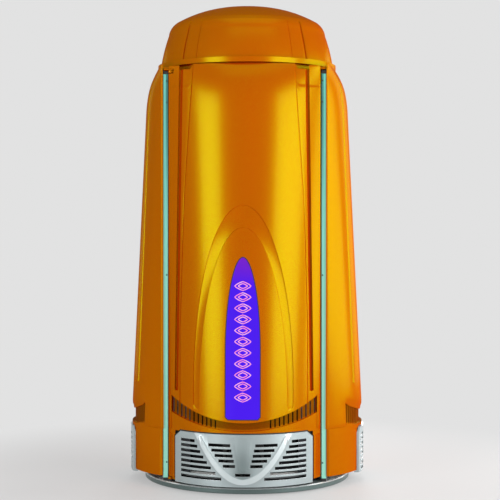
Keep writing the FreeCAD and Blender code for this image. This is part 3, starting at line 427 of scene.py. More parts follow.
@dataclass(frozen=True)
class BacklitSign(Finish):
    """Violet-blue acrylic lit from behind, turning purple towards the apex."""

    name: str = "backlit_sign"
    blue: Colour = (0.055, 0.004, 0.86)
    purple: Colour = (0.19, 0.010, 0.52)
    low: float = 0.93
    high: float = 1.09
    glow: float = 0.92

    def sockets(self, shader: Shader) -> dict[str, Any]:
        """What feeds the sockets of the Principled shader."""
        _, _, height = shader.axes()
        clouds = shader.noise(7, 2)
        colour = shader.blend(height.step(self.low, self.high), self.blue, self.purple)
        dim = tuple(channel * 0.85 for channel in self.blue)
        colour = shader.blend(clouds.step(0.3, 0.9) * 0.35, colour, dim)
        return {
            "Base Color": (0.015, 0.002, 0.08), "Roughness": 0.3, "Specular IOR Level": 0.15,
            "Emission Color": colour, "Emission Strength": self.glow}


@dataclass(frozen=True)
class Glass(Finish):
    """Glass or acrylic that shows what is behind it."""

    colour: Colour
    roughness: float = 0.05
    opacity: float = 0.2
    glow: float = 0.0

    def sockets(self, shader: Shader) -> dict[str, Any]:
        """What feeds the sockets of the Principled shader."""
        film = shader.noise(14, 3)
        return {
            "Base Color": self.colour, "Roughness": self.roughness + 0.04 * film,
            "Alpha": self.opacity + 0.04 * film, "Coat Weight": 0.5,
            "Emission Color": self.colour, "Emission Strength": self.glow}


@dataclass(frozen=True)
class GrilleSilver(Finish):
    """Silver paint on a grille, with a painted highlight on the V rib and painted shade in the keel
    that deepens towards its foot.
    """

    name: str = "grille_silver"
    silver: Colour = (0.43, 0.50, 0.51)
    # The colours of the painted highlight on the V rib and of the painted shade in the keel.
    rib: Colour = (0.60, 0.67, 0.68)
    keel: Colour = (0.20, 0.25, 0.25)
    rib_half: float = 0.206
    rib_low: float = 0.068
    rib_rise: float = 0.202
    rib_width: float = 0.012

    def sockets(self, shader: Shader) -> dict[str, Any]:
        """What feeds the sockets of the Principled shader."""
        x, y, z, wide = shader.facing()
        bow = abs(x) * (1 / self.rib_half)
        line = self.rib_low + bow * bow * self.rib_rise
        slope = 1.0 + bow * 1.1
        away = abs(z - line) / slope
        # Painted highlight along the rib; painted shade in the keel, deepest towards the middle and
        # the foot.
        rib_highlight = away.step(self.rib_width + 0.002, self.rib_width - 0.002) * wide
        inside = (z - line).step(0.010, 0.014) * wide
        middle = abs(x).step(0.075, 0.0) * (0.35 + 0.65 * z.step(0.26, 0.14))
        grain = shader.noise(260, 2)
        patches = shader.noise(6, 3)
        worn = tuple(channel * 0.86 for channel in self.silver)
        colour = shader.blend(patches.step(0.3, 0.75), self.silver, worn)
        colour = shader.blend(inside * middle, colour, self.keel)
        colour = shader.blend(rib_highlight, colour, self.rib)
        return {
            "Base Color": colour, "Metallic": 0.45, "Roughness": 0.34 + 0.12 * (grain - 0.5),
            "Coat Weight": 0.2, "Normal": shader.bump(grain, 0.00002)}


@dataclass(frozen=True)
class DiscWithPaintedHighlight(Finish):
    """The base disc: grey rim, a chamfer painted near white as a highlight, and a satin top."""

    name: str = "disc_painted_highlight"
    rim: Colour = (0.12, 0.165, 0.16)
    # The chamfer's near-white colour is a painted highlight.
    chamfer: Colour = (0.86, 0.90, 0.90)
    top: Colour = (0.44, 0.50, 0.50)
    chamfer_low: float = 0.0285
    chamfer_high: float = 0.0329

    def sockets(self, shader: Shader) -> dict[str, Any]:
        """What feeds the sockets of the Principled shader."""
        z = shader.axes()[2]
        rings = shader.noise(260, 2, (1, 1, 6))
        above = z.step(self.chamfer_high - 0.0002, self.chamfer_high)
        # Painted highlight on the chamfer.
        edge = z.step(self.chamfer_low - 0.0004, self.chamfer_low)
        colour = shader.blend(edge, self.rim, self.chamfer)
        colour = shader.blend(above, colour, self.top)
        return {
            "Base Color": colour, "Metallic": 0.6, "Roughness": 0.34 + 0.1 * (rings - 0.5),
            "Normal": shader.bump(rings, 0.00003)}


@dataclass(frozen=True)
class NeonLine(Finish):
    """The pink glowing lines of the sign's pattern."""

    name: str = "neon_line"
    pink: Colour = (0.93, 0.22, 0.62)
    pale: Colour = (0.95, 0.50, 0.80)

    def sockets(self, shader: Shader) -> dict[str, Any]:
        """What feeds the sockets of the Principled shader."""
        clouds = shader.noise(40, 2)
        colour = shader.blend(clouds.step(0.35, 0.7), self.pink, self.pale)
        return {
            "Base Color": (0.20, 0.04, 0.12), "Roughness": 0.35, "Emission Color": colour,
            "Emission Strength": 0.85}


# Each finish, and the nodes that wear it.
FINISHES: dict[str, tuple[Finish, str]] = {
    "lacquer": (
        PearlLacquer(),
        "door_shell right_shell left_shell rear_shell dome dome_collar rear_corner_trims "
        "roof_deck door_pivot_arms upper_hinge_bracket"),
    # The lower mouldings' lacquer carries painted shade behind their grilles and in their vented
    # recesses.
    "seat lacquer": (
        PearlLacquer("seat_shade_lacquer", paints_seat_shade=True),
        "door_apron right_apron left_apron rear_apron"),
    "neon": (NeonLine(), ""),
    "grille silver": (GrilleSilver(), "door_grille right_grille left_grille rear_grille"),
    # The lips are real beads; their silver, paler than the grille's, is a painted highlight.
    "lip silver": (Metal("lip_silver_highlight", (0.80, 0.84, 0.85), 0.22, 0.8, 300), ""),
    "disc silver": (DiscWithPaintedHighlight(), "base_disc"),
    "powder coat": (
        Metal("powder_coat", (0.36, 0.37, 0.38), 0.5, 0.2, 1500, depth=0.00008),
        "frame_posts door_frame door_end_plates sign_light_box ballasts"),
    "zinc": (Metal("zinc", (0.62, 0.62, 0.60), 0.32, 1.0, 300), "catch_plates catch_magnets"),
    "polished": (
        Metal("polished_steel", (0.80, 0.80, 0.80), 0.12, 1.0, 200, (1, 1, 0.1)),
        "ceiling_grips door_pull_handle"),
    "mirror": (
        Metal("mirror_sheet", (0.88, 0.89, 0.90), 0.08, 1.0, 120, (1, 1, 0.05)),
        "cabin_reflectors"),
    "backed mirror": (ShadeBackedMirror(), "door_reflector"),
    "black": (
        Moulded("black_plastic", (0.012, 0.012, 0.013), 0.5),
        "base_ring fin_caps fin_screws lower_hinge_block cable_gland intake_fan_frame "
        "exhaust_fan_frame exhaust_rotor intake_rotor outlet_grille"),
    # grille_seal wears black rubber as painted shade: it stands in for the shadow in the gap round
    # the grille.
    "rubber": (
        Moulded("rubber", (0.016, 0.016, 0.016), 0.75, 600, 0.0001),
        "rubber_feet door_seal grille_seal"),
    "floor": (Moulded("floor_vinyl", (0.16, 0.16, 0.17), 0.6, 500, 0.0002), "floor_panel"),
    "white": (
        Moulded("white_plastic", (0.68, 0.68, 0.66), 0.3, coat=0.4),
        "ceiling_panel pillar_covers cabin_lampholders door_lampholders"),
    "console": (Moulded("console_plastic", (0.05, 0.05, 0.055), 0.45), "control_panel"),
    "green": (Moulded("green_button", (0.02, 0.30, 0.06), 0.3, coat=0.8), "start_button"),
    "grey": (Moulded("grey_button", (0.30, 0.30, 0.31), 0.3, coat=0.8), "fan_button"),
    "red": (Moulded("red_button", (0.50, 0.02, 0.015), 0.3, coat=0.8), "stop_button"),
    "fin": (EdgeLitAcrylic(), "light_fins"),
    "sign": (BacklitSign(), "sign_panel"),
    "lamp": (
        Glass("lamp_glass", (0.82, 0.86, 0.95), 0.3, 0.94, 0.12),
        "cabin_lamps door_lamps sign_tubes"),
    "shield": (Glass("clear_shield", (0.85, 0.90, 0.93), 0.04, 0.12), "cabin_shields door_shield"),
    "display": (Glass("display_window", (0.01, 0.05, 0.07), 0.08, 0.9, 0.1), "display_window"),
}


class Wardrobe:
    """Makes each finish once and puts it on pieces."""

    def __init__(self) -> None:
        """Starts with nothing made."""
        self.made: dict[str, bpy.types.Material] = {}

    def material(self, finish: str) -> bpy.types.Material:
        """The material of a finish."""
        if finish not in self.made:
            self.made[finish] = FINISHES[finish][0].build()
        return self.made[finish]

    def dress(self, piece: bpy.types.Object, finish: str) -> None:
        """Gives a piece one finish all over.

        Args:
            piece: A mesh.
            finish: A key of FINISHES.
        """
        piece.data.materials.clear()
        piece.data.materials.append(self.material(finish))
        log.info("%s wears %s", piece.name, finish)

    def dress_frame(self, nodes: dict[str, bpy.types.Object]) -> None:
        """Dresses every node of the frame."""
        for finish, (_, names) in FINISHES.items():
            for name in names.split():
                self.dress(nodes[name], finish)


# ------------------------------------------------------------------------------------------
# Thin mouldings
# ------------------------------------------------------------------------------------------
MILLIMETRE = 0.001
Pair = tuple[Vector, Vector]


def ease(value: float, start: float, end: float) -> float:
    """A smooth step of a number: 0 at start, 1 at end."""
    share = min(1.0, max(0.0, (value - start) / (end - start)))
    return share * share * (3 - 2 * share)


def mix(first: float, second: float, share: float) -> float:
    """A number between two others."""
    return first + (second - first) * share


def between(first: Spot, second: Spot, share: float) -> Spot:
    """A point between two others."""
    return mix(first[0], second[0], share), mix(first[1], second[1], share)


def steps(*runs: tuple[float, float, int]) -> list[float]:
    """Levels in runs of even steps.

    Args:
        runs: (start, end, count) for each run, where one run starts at the last one's end.

    Returns:
        All levels, with no level twice.
    """
    levels = [runs[0][0]]
    for start, end, count in runs:
        levels += [mix(start, end, (i + 1) / count) for i in range(count)]
    return levels


def added(name: str, data: bpy.types.ID) -> bpy.types.Object:
    """A new object in the scene."""
    made = bpy.data.objects.new(name, data)
    bpy.context.scene.collection.objects.link(made)
    return made


def meshed(name: str, points: list[Vector], edges: list[tuple[int, ...]],
           faces: list[tuple[int, ...]]) -> bpy.types.Mesh:
    """A plain mesh from points in millimetres."""
    mesh = bpy.data.meshes.new(name)
    mesh.from_pydata([point * MILLIMETRE for point in points], edges, faces)
    return mesh


def baked(piece: bpy.types.Object) -> bpy.types.Object:
    """Gives a piece the plain mesh that its modifiers make."""
    graph = bpy.context.evaluated_depsgraph_get()
    mesh = bpy.data.meshes.new_from_object(piece.evaluated_get(graph), depsgraph=graph)
    piece.modifiers.clear()
    piece.data = mesh
    return piece


def settled(piece: bpy.types.Object, crease: float = 38.0) -> bpy.types.Object:
    """Bakes a piece and shades it smooth, but for edges sharper than an angle in degrees."""
    baked(piece).data.shade_smooth()
    piece.data.set_sharp_from_angle(angle=math.radians(crease))
    return piece


def modify(piece: bpy.types.Object, kind: str, **settings: Any) -> None:
    """Adds a modifier with its settings."""
    made = piece.modifiers.new(kind, kind)
    for name, setting in settings.items():
        setattr(made, name, setting)


class Skin:
    """A thin wall that grows from grids of point pairs, one on its face and one on its back."""

    def __init__(self, name: str) -> None:
        """Starts an empty wall."""
        self.name = name
        self.face: list[Vector] = []
        self.back: list[Vector] = []
        self.quads: list[tuple[int, ...]] = []
        self.found: dict[tuple[int, ...], int] = {}

    def corner(self, pair: Pair) -> int:
        """The number of a point pair; pairs that meet share one number."""
        key = tuple(round(axis * 20) for axis in pair[0])
        if key not in self.found:
            self.found[key] = len(self.face)
            self.face.append(pair[0])
            self.back.append(pair[1])
        return self.found[key]

    def grid(self, rows: list[list[Pair]], flip: bool = False) -> None:
        """Adds a grid.

        Args:
            rows: Rows of point pairs, upwards, each from left to right as seen from outside.
            flip: True where the rows run the other way.
        """
        numbers = [[self.corner(pair) for pair in row] for row in rows]
        for lower, upper in zip(numbers, numbers[1:]):
            for i in range(len(lower) - 1):
                loop = [lower[i], lower[i + 1], upper[i + 1], upper[i]]
                kept = tuple(n for k, n in enumerate(loop) if n != loop[k - 1])
                if len(set(kept)) >= 3:
                    self.quads.append(kept[::-1] if flip else kept)

    def build(self, rounding: float) -> bpy.types.Object:
        """Closes the wall at its edges and makes the piece.

        Args:
            rounding: The radius of the wall's edges, in millimetres.

        Returns:
            The piece, in metres.
        """
        count = len(self.face)
        uses: dict[tuple[int, int], int] = {}
        for quad in self.quads:
            for pair in zip(quad, quad[1:] + quad[:1]):
                uses[pair] = uses.get(pair, 0) + 1
        faces = list(self.quads)
        faces += [tuple(n + count for n in reversed(quad)) for quad in self.quads]
        rim = [pair for pair in uses if pair[::-1] not in uses]
        faces += [(b, a, a + count, b + count) for a, b in rim]
        mesh = meshed(self.name, self.face + self.back, [], faces)
        sharp = {frozenset(edge) for a, b in rim for edge in ((a, b), (a + count, b + count))}
        weights = mesh.attributes.new("bevel_weight_edge", "FLOAT", "EDGE")
        for edge in mesh.edges:
            if frozenset(edge.vertices) in sharp:
                weights.data[edge.index].value = 1.0
        piece = added(self.name, mesh)
        modify(piece, "BEVEL", limit_method="WEIGHT", width=rounding * MILLIMETRE, segments=2)
        return settled(piece)


@dataclass(frozen=True)
class BowedFace:
    """The face of a bowed panel: level arcs between two upright corner lines, in millimetres."""

    half: float
    corner: float
    reach: tuple[Spot, ...]
    azimuth: float

    def reach_at(self, height: float) -> float:
        """How far the middle stands from the booth's axis, along a smooth curve."""
        levels = self.reach
        if height <= levels[1][0]:
            (z0, r0), (z1, r1) = levels[:2]
            return mix(r0, r1, (height - z0) / (z1 - z0))
        last = len(levels) - 1
        here = next(i for i in range(1, last + 1) if height <= levels[i][0] or i == last)
        slope = [(b[1] - a[1]) / (b[0] - a[0]) for a, b in zip(levels, levels[1:])]
        tangent = [slope[0], slope[0]] + [
            (slope[i - 1] + slope[i]) / 2 for i in range(2, last)] + [slope[-1]]
        (z0, r0), (z1, r1) = levels[here - 1], levels[here]
        run = z1 - z0
        share = min(1.0, (height - z0) / run)
        square, cube = share * share, share ** 3
        leave, arrive = run * tangent[here - 1], run * tangent[here]
        return ((2 * cube - 3 * square + 1) * r0 + (cube - 2 * square + share) * leave
                + (3 * square - 2 * cube) * r1 + (cube - square) * arrive)

    def point(self, x: float, height: float, depth: float) -> Vector:
        """A point at a depth under the face; a negative depth stands proud."""
        reach = self.reach_at(height)
        rise = reach - self.corner
        radius = (self.half ** 2 + rise ** 2) / (2 * rise)
        y = radius - reach - math.sqrt((radius - depth) ** 2 - x ** 2)
        turn = math.radians(self.azimuth)
        return Vector((x * math.cos(turn) - y * math.sin(turn),
                       x * math.sin(turn) + y * math.cos(turn), height))


@dataclass(frozen=True)
class Groove:
    """A pressed, rounded groove that runs up a shell from a round foot."""

    foot_x: float
    foot: float
    top_x: float
    top: float
    half: float = 9.0
    depth: float = 11.0

    offsets = (-10.6, -9.3, -8.4, -7.4, -6.0, -3.2, 0.0, 3.2, 6.0, 7.4, 8.4, 9.3, 10.6)

    def middle(self, height: float) -> float:
        """The groove's middle line at a height."""
        share = max(0.0, height - self.foot) / (self.top - self.foot)
        return mix(self.foot_x, self.top_x, share)

    def depth_at(self, x: float, height: float, spread: float = 0.0) -> float:
        """How deep the groove is at a point, or its back where it is spread by the wall."""
        across = x - self.middle(height)
        away = math.hypot(across, max(0.0, self.foot - height))
        return self.depth * (1 - ease(away, self.half - 4.2 + spread, self.half + 0.4 + spread))


@dataclass(frozen=True)
class BarrelShell:
    """An upper shell with a smile-shaped lower edge between two strips that run further down."""

    name: str
    face: BowedFace
    groove: Groove
    strip: float
    seam: float
    top: float
    smile_low: float = 336.0
    smile_radius: float = 598.0
    wall: float = 6.0
    rounding: float = 1.3
    roll: float = 0.0
    roll_height: float = 34.0
    roll_side: float = 42.0
    middle_count: int = 14

    def smile(self, x: float) -> float:
        """The height of the smile-shaped edge."""
        x = min(abs(x), self.strip)
        return self.smile_low + self.smile_radius - math.sqrt(self.smile_radius ** 2 - x ** 2)

    def pair(self, side: int, x: float, height: float, depth: float = 0.0) -> Pair:
        """The face and back points of the wall on one side of the middle."""
        across = x - self.groove.middle(height)
        reach = self.groove.half + 1.6
        spread = math.copysign(self.wall * ease(abs(across), 2.0, self.groove.half), across)
        back_x = x + (spread if abs(across) <= reach else 0.0)
        lift = height - self.smile(x)
        roll = self.roll * (1 - ease(lift, 2, self.roll_height)) * (
            1 - ease(x, self.strip - self.roll_side, self.strip))
        press = self.groove.depth_at(x, height) + roll
        return (self.face.point(side * x, height, depth + press),
                self.face.point(side * back_x, height, self.wall + roll
                                + self.groove.depth_at(back_x, height, self.wall)))

    def levels(self) -> list[float]:
        """Shares of the height from the lower edge to the top, closest at the foot and shoulder."""
        foot = self.smile(self.groove.foot_x)
        run = self.top - foot
        toe = (self.groove.foot - self.groove.half - 2 - foot) / run
        heel = (self.groove.foot + 2 - foot) / run
        return steps((0, toe, 9), (toe, heel, 9), (heel, 0.87, 44), (0.87, 0.927, 6),
                     (0.927, 0.955, 8), (0.955, 1.0, 9))

    def side_columns(self, height: float) -> list[float]:
        """The x of each column on one side at a height, from the middle out."""
        middle = self.groove.middle(height)
        inner = middle + self.groove.offsets[0] - self.wall
        return [inner * i / self.middle_count for i in range(self.middle_count + 1)] + (
            self.outer_columns(middle, self.wall))

    def outer_columns(self, middle: float, gap: float) -> list[float]:
        """The columns over the groove and on to the shell's edge, with a gap beside the groove."""
        columns = [middle + offset for offset in self.groove.offsets]
        outer = columns[-1] + gap
        return columns + [mix(outer, self.strip, i / 3) for i in (1, 2)] + self.edge_columns()

    def edge_columns(self) -> list[float]:
        """The columns of the strip beside the smile."""
        half = self.face.half
        return [self.strip, mix(self.strip, half, 0.5), half - 4, half]

    def column_top(self, x: float) -> float:
        """How high the shell stands at a distance from the middle of its upper edge."""
        return self.top

    def height_at(self, x_foot: float, x_top: float, share: float) -> float:
        """The height of a share of a column between the lower edge and the top."""
        return mix(self.smile(x_foot), self.column_top(x_top), share)

    def add_columns(self, skin: Skin, side: int) -> None:
        """Adds the side's grid: columns along the groove, and rows from the smile to the top."""
        foot, head = self.side_columns(self.smile_low), self.side_columns(self.top)
        rows = []
        for share in self.levels():
            row = []
            for i, (x_foot, x_top) in enumerate(zip(foot, head)):
                height = self.height_at(x_foot, x_top, share)
                row.append(self.pair(side, self.side_columns(height)[i], height))
            rows.append(row)
        skin.grid(rows, flip=side < 0)

    def add_strip(self, skin: Skin, side: int) -> None:
        """Adds the strip's lower end, beside the smile."""
        top = self.smile(self.strip)
        skin.grid([[self.pair(side, x, height) for x in self.edge_columns()]
                   for height in steps((self.seam, top, 6))], flip=side < 0)

    def build(self) -> bpy.types.Object:
        """Makes the shell."""
        skin = Skin(self.name)
        for side in (-1, 1):
            self.add_columns(skin, side)
            self.add_strip(skin, side)
        return skin.build(self.rounding)


# The box cut out of the door's shell for the upper hinge, by its low and high corner.
HINGE_NOTCH = ((-360, -364, 1946), (-331, -316, 1968))


@dataclass(frozen=True)
class Arch:
    """A tall line with straight legs and an elliptical head."""

    half: float
    spring: float
    top: float

    def head(self, share: float) -> Spot:
        """A point of the head, from the spring (0) to the apex (1)."""
        turn = share * math.pi / 2
        return self.half * math.cos(turn), mix(self.spring, self.top, math.sin(turn))


@dataclass(frozen=True)
class DoorShell(BarrelShell):
    """The door's main moulding: raised middle, horseshoe recess, grooves and the sign's opening.

    Rings of the middle grow from the sign's outline through the two arches to the crease, so that
    every pressed line has its own row of points.
    """

    sign: Arch = Arch(81, 650, 1089)
    inner: Arch = Arch(202, 430, 1222)
    outer: Arch = Arch(230, 500, 1327)
    sign_foot: float = 350.0
    sign_corner: float = 12.0
    recess_foot: float = 405.0
    raised: float = 2.5
    recess: float = 3.5
    # The recess's rounded edge, as (distance from the arch, share of the recess's depth).
    recess_lip: tuple[Spot, ...] = ((1.0, 0.22), (2.1, 0.74), (3.2, 0.97), (4.2, 1.0))
    line_depth: float = 1.6
    # The crease's distance from the middle, as (height, x).
    crease_line: tuple[Spot, ...] = ((750, 292), (1358, 274), (1985, 232))
    crease_steps: tuple[float, ...] = (0, 1.2, 2.6, 3.6, 4.4, 5.2)
    crease_room: float = 0.7
    lip_room: float = 14.0
    inner_lift: float = 6.0
    outer_lift: float = 3.0
    shoulder: float = 1881.0
    shoulder_step: float = 2.0
    flank_x: float = 238.2
    strip_x: float = 303.0
    flank_top: float = 1961.0
    strip_top: float = 1981.0
    dish_shares: tuple[float, ...] = (0, 0.03, 0.14, 0.3, 0.5, 0.7, 0.86, 0.96, 0.99, 1.0)
    foot_count: int = 16
    leg_count: int = 20
    leg_crowding: float = 1.3
    flank_count: int = 26
    flank_crowding: float = 1.5
    top_count: int = 40

    def crease(self, height: float) -> float:
        """Where the raised middle ends at a height."""
        (low, foot_x), (knee, knee_x), (top, top_x) = self.crease_line
        if height < knee:
            return mix(foot_x, knee_x, max(0.0, height - low) / (knee - low))
        return mix(knee_x, top_x, (height - knee) / (top - knee))

    def side_columns(self, height: float) -> list[float]:
        """The columns from the crease out."""
        crease, middle = self.crease(height), self.groove.middle(height)
        inner = middle + self.groove.offsets[0] - self.wall
        columns = [crease + step for step in self.crease_steps]
        edge = columns[-1]
        columns += [mix(edge, max(inner, edge + self.crease_room), i / 3) for i in range(1, 4)]
        return columns + self.outer_columns(middle, 0.0)

    def pair(self, side: int, x: float, height: float, depth: float = 0.0) -> Pair:
        """The wall's points, with the raised middle falling to the flank at the crease."""
        crease = self.crease(height)
        swell = self.raised * (1 - ease(x, crease + 0.4, crease + 3.4))
        line = self.line_depth * max(0.0, 1 - abs(x - crease - 4.4) / 1.5)
        fold = self.shoulder_step * ease(height, self.shoulder - 3, self.shoulder + 3)
        fold *= ease(x, crease + 3, crease + 6)
        return super().pair(side, x, height, depth - swell + line + fold)

    def column_top(self, x: float) -> float:
        """The upper edge steps down from the raised middle to the flanks and up to the strips."""
        if x < self.flank_x:
            return self.top
        return self.flank_top if x < self.strip_x else self.strip_top

    def foot_columns(self, reach: float) -> list[float]:
        """The columns of a ring's lower part, from the middle out to its reach."""
        return [reach * i / self.foot_count for i in range(self.foot_count + 1)]

    def loop(self, arch: Arch, lift: float) -> list[Spot]:
        """The right half of an arch's ring, from its lowest point to its apex.

        Args:
            arch: The line that the ring follows.
            lift: How far over the smile the ring's lower part runs.

        Returns:
            Points as (x, height).
        """
        points = [(x, self.smile(x) + lift) for x in self.foot_columns(arch.half)]
        foot = points[-1][1]
        for i in range(1, self.leg_count + 1):
            share = (i / self.leg_count) ** self.leg_crowding
            points.append((arch.half, mix(foot, arch.spring, share)))
        head = len(self.levels()) - 1 + self.top_count - self.leg_count
        return points + [arch.head(i / head) for i in range(1, head + 1)]

    def sign_loop(self) -> list[Spot]:
        """The right half of the sign's opening, with its lower corner cut off."""
        points = self.loop(self.sign, 0)
        for i, x in enumerate(self.foot_columns(self.sign.half - self.sign_corner)):
            points[i] = (x, self.sign_foot)
        low = self.sign_foot + self.sign_corner
        for i in range(1, self.leg_count + 1):
            points[self.foot_count + i] = (
                self.sign.half, mix(low, self.sign.spring, (i - 1) / (self.leg_count - 1)))
        return points

    def crease_loop(self) -> list[Spot]:
        """The right half of the outermost ring: the smile, the crease and the upper edge."""
        foot_x = self.crease(self.smile_low)
        points = [(x, self.smile(x)) for x in self.foot_columns(foot_x)]
        for share in self.levels()[1:]:
            height = self.height_at(foot_x, self.crease(self.top), share)
            points.append((self.crease(height), height))
        corner = points[-1][0]
        return points + [(corner * (1 - i / self.top_count), self.top)
                         for i in range(1, self.top_count + 1)]

    def recess_depth(self, x: float, height: float, wall_share: float) -> float:
        """The recess's depth in its ring, ending in a round toe."""
        middle = (self.inner.half + self.outer.half) / 2
        toe = (self.outer.half - self.inner.half) / 2
        away = math.hypot(x - middle, self.recess_foot - height)
        end = 1 - ease(away, toe - 3.6, toe) if height < self.recess_foot else 1.0
        return self.recess * min(wall_share, end)

    def spokes(self) -> list[list[tuple[float, float, float]]]:
        """For each sample of the rings, its points from the sign out, as (x, height, depth)."""
        rings = zip(self.sign_loop(), self.loop(self.inner, self.inner_lift),
                    self.loop(self.outer, self.outer_lift), self.crease_loop())
        found = []
        for sign, inner, outer, crease in rings:
            spoke = [(*between(sign, inner, share), 0.0) for share in self.dish_shares]
            width = math.dist(inner, outer)
            scale = min(1.0, width / self.lip_room) / width
            shares = [(away * scale, press) for away, press in self.recess_lip] + [(0.5, 1.0)]
            shares += [(1 - away * scale, press) for away, press in reversed(self.recess_lip)]
            for share, press in shares:
                x, height = between(inner, outer, share)
                spoke.append((x, height, self.recess_depth(x, height, press)))
            spoke.append((*outer, 0.0))
            for i in range(1, self.flank_count + 1):
                share = 1 - (1 - i / self.flank_count) ** self.flank_crowding
                spoke.append((*between(outer, crease, share), 0.0))
            found.append(spoke)
        return found

    def build(self) -> bpy.types.Object:
        """Makes the shell, with the hinge's corner cut out of it."""
        skin = Skin(self.name)
        for side in (-1, 1):
            skin.grid([[self.pair(side, *point) for point in spoke] for spoke in self.spokes()],
                      flip=side < 0)
            self.add_columns(skin, side)
            self.add_strip(skin, side)
        return carved(skin.build(self.rounding), [HINGE_NOTCH])


BLOCK_FACES = ((0, 2, 3, 1), (4, 5, 7, 6), (0, 1, 5, 4), (1, 3, 7, 5), (3, 2, 6, 7), (2, 0, 4, 6))


def carved(piece: bpy.types.Object, boxes: list[tuple[Colour, Colour]],
           azimuth: float = 0.0) -> bpy.types.Object:
    """Cuts boxes out of a piece.

    Args:
        piece: The piece.
        boxes: Each box's low and high corner, in millimetres.
        azimuth: How far the boxes are turned round the booth's axis, in degrees.

    Returns:
        The same piece.
    """
    turn = Matrix.Rotation(math.radians(azimuth), 4, "Z")
    corners = [turn @ Vector((x, y, z)) for low, high in boxes for z in (low[2], high[2])
               for y in (low[1], high[1]) for x in (low[0], high[0])]
    faces = [tuple(8 * number + i for i in face) for number in range(len(boxes))
             for face in BLOCK_FACES]
    cutter = added("cutter", meshed("cutter", corners, [], faces))
    modify(piece, "BOOLEAN", operation="DIFFERENCE", solver="EXACT", object=cutter)
    settled(piece)
    bpy.data.objects.remove(cutter)
    return piece


def copied(plain: bpy.types.Object, name: str) -> bpy.types.Object:
    """A welded copy of a plain node, for carving."""
    piece = added(name, plain.data.copy())
    modify(piece, "WELD", merge_threshold=0.00001)
    return settled(piece, 30)


def weighted(piece: bpy.types.Object) -> bpy.types.Object:
    """Shades a carved piece by its large faces, so that slivers don't show in its gloss."""
    modify(piece, "WEIGHTED_NORMAL", keep_sharp=True, weight=100)
    piece.data.set_sharp_from_angle(angle=math.radians(22))
    return baked(piece)


# Half the width of the wide and the narrow shells, and how far from the booth's axis their corner
# lines stand.
WIDE_HALF, WIDE_CORNER = 356, 338
NARROW_HALF, NARROW_CORNER = 332, 390

# How far the middle of each face stands from the axis, as (height, reach).
DOOR_REACH = ((470, 534), (1780, 473), (1867, 464), (1915, 453), (1950, 440), (1970, 431),
              (1985, 422))
REAR_REACH = DOOR_REACH[:-1] + ((1989.8, 420),)
SIDE_REACH = ((470, 559), (1780, 496), (1867, 486), (1915, 473), (1950, 457), (1974, 442),
              (1989.8, 430))

DOOR_PLAN = DoorShell("door_moulding", BowedFace(WIDE_HALF, WIDE_CORNER, DOOR_REACH, 0),
                      Groove(314, 474, 294, 1990), 340, 287, 1985)


class Side(Enum):
    """A fixed wall and how far it is turned from the front, in degrees."""

    RIGHT = 90
    REAR = 180
    LEFT = 270


@dataclass(frozen=True)
class Shells:
    """The four lacquered upper shells."""

    side_groove_x: float = 178.0
    side_groove_foot: float = 486.0

    def fixed(self, side: Side) -> BarrelShell:
        """The plan of one fixed shell."""
        x = self.side_groove_x
        groove = Groove(x, self.side_groove_foot, x, 1994.8)
        name = f"{side.name.lower()}_moulding"
        if side is Side.REAR:
            face = BowedFace(WIDE_HALF, WIDE_CORNER, REAR_REACH, side.value)
            return BarrelShell(name, face, groove, 340, 287, 1989.8)
        face = BowedFace(NARROW_HALF, NARROW_CORNER, SIDE_REACH, side.value)
        return BarrelShell(name, face, groove, 250, 280, 1989.8, roll=9.0)

    def build(self, wardrobe: Wardrobe) -> None:
        """Makes all four and puts them in the place of the plain ones."""
        place(DOOR_PLAN.build(), wardrobe, "lacquer", DOOR, "orange_shell", "door_shell")
        for side in Side:
            place(self.fixed(side).build(), wardrobe, "lacquer", CABIN, "orange_shell",
                  f"{side.name.lower()}_shell")


def place(piece: bpy.types.Object, wardrobe: Wardrobe, finish: str, body: str, slot: str,
          *nodes: str) -> None:
    """Dresses a piece, lets it ride on its body and has it stand for its nodes."""
    wardrobe.dress(piece, finish)
    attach(piece, body)
    if nodes:
        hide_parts(*nodes)


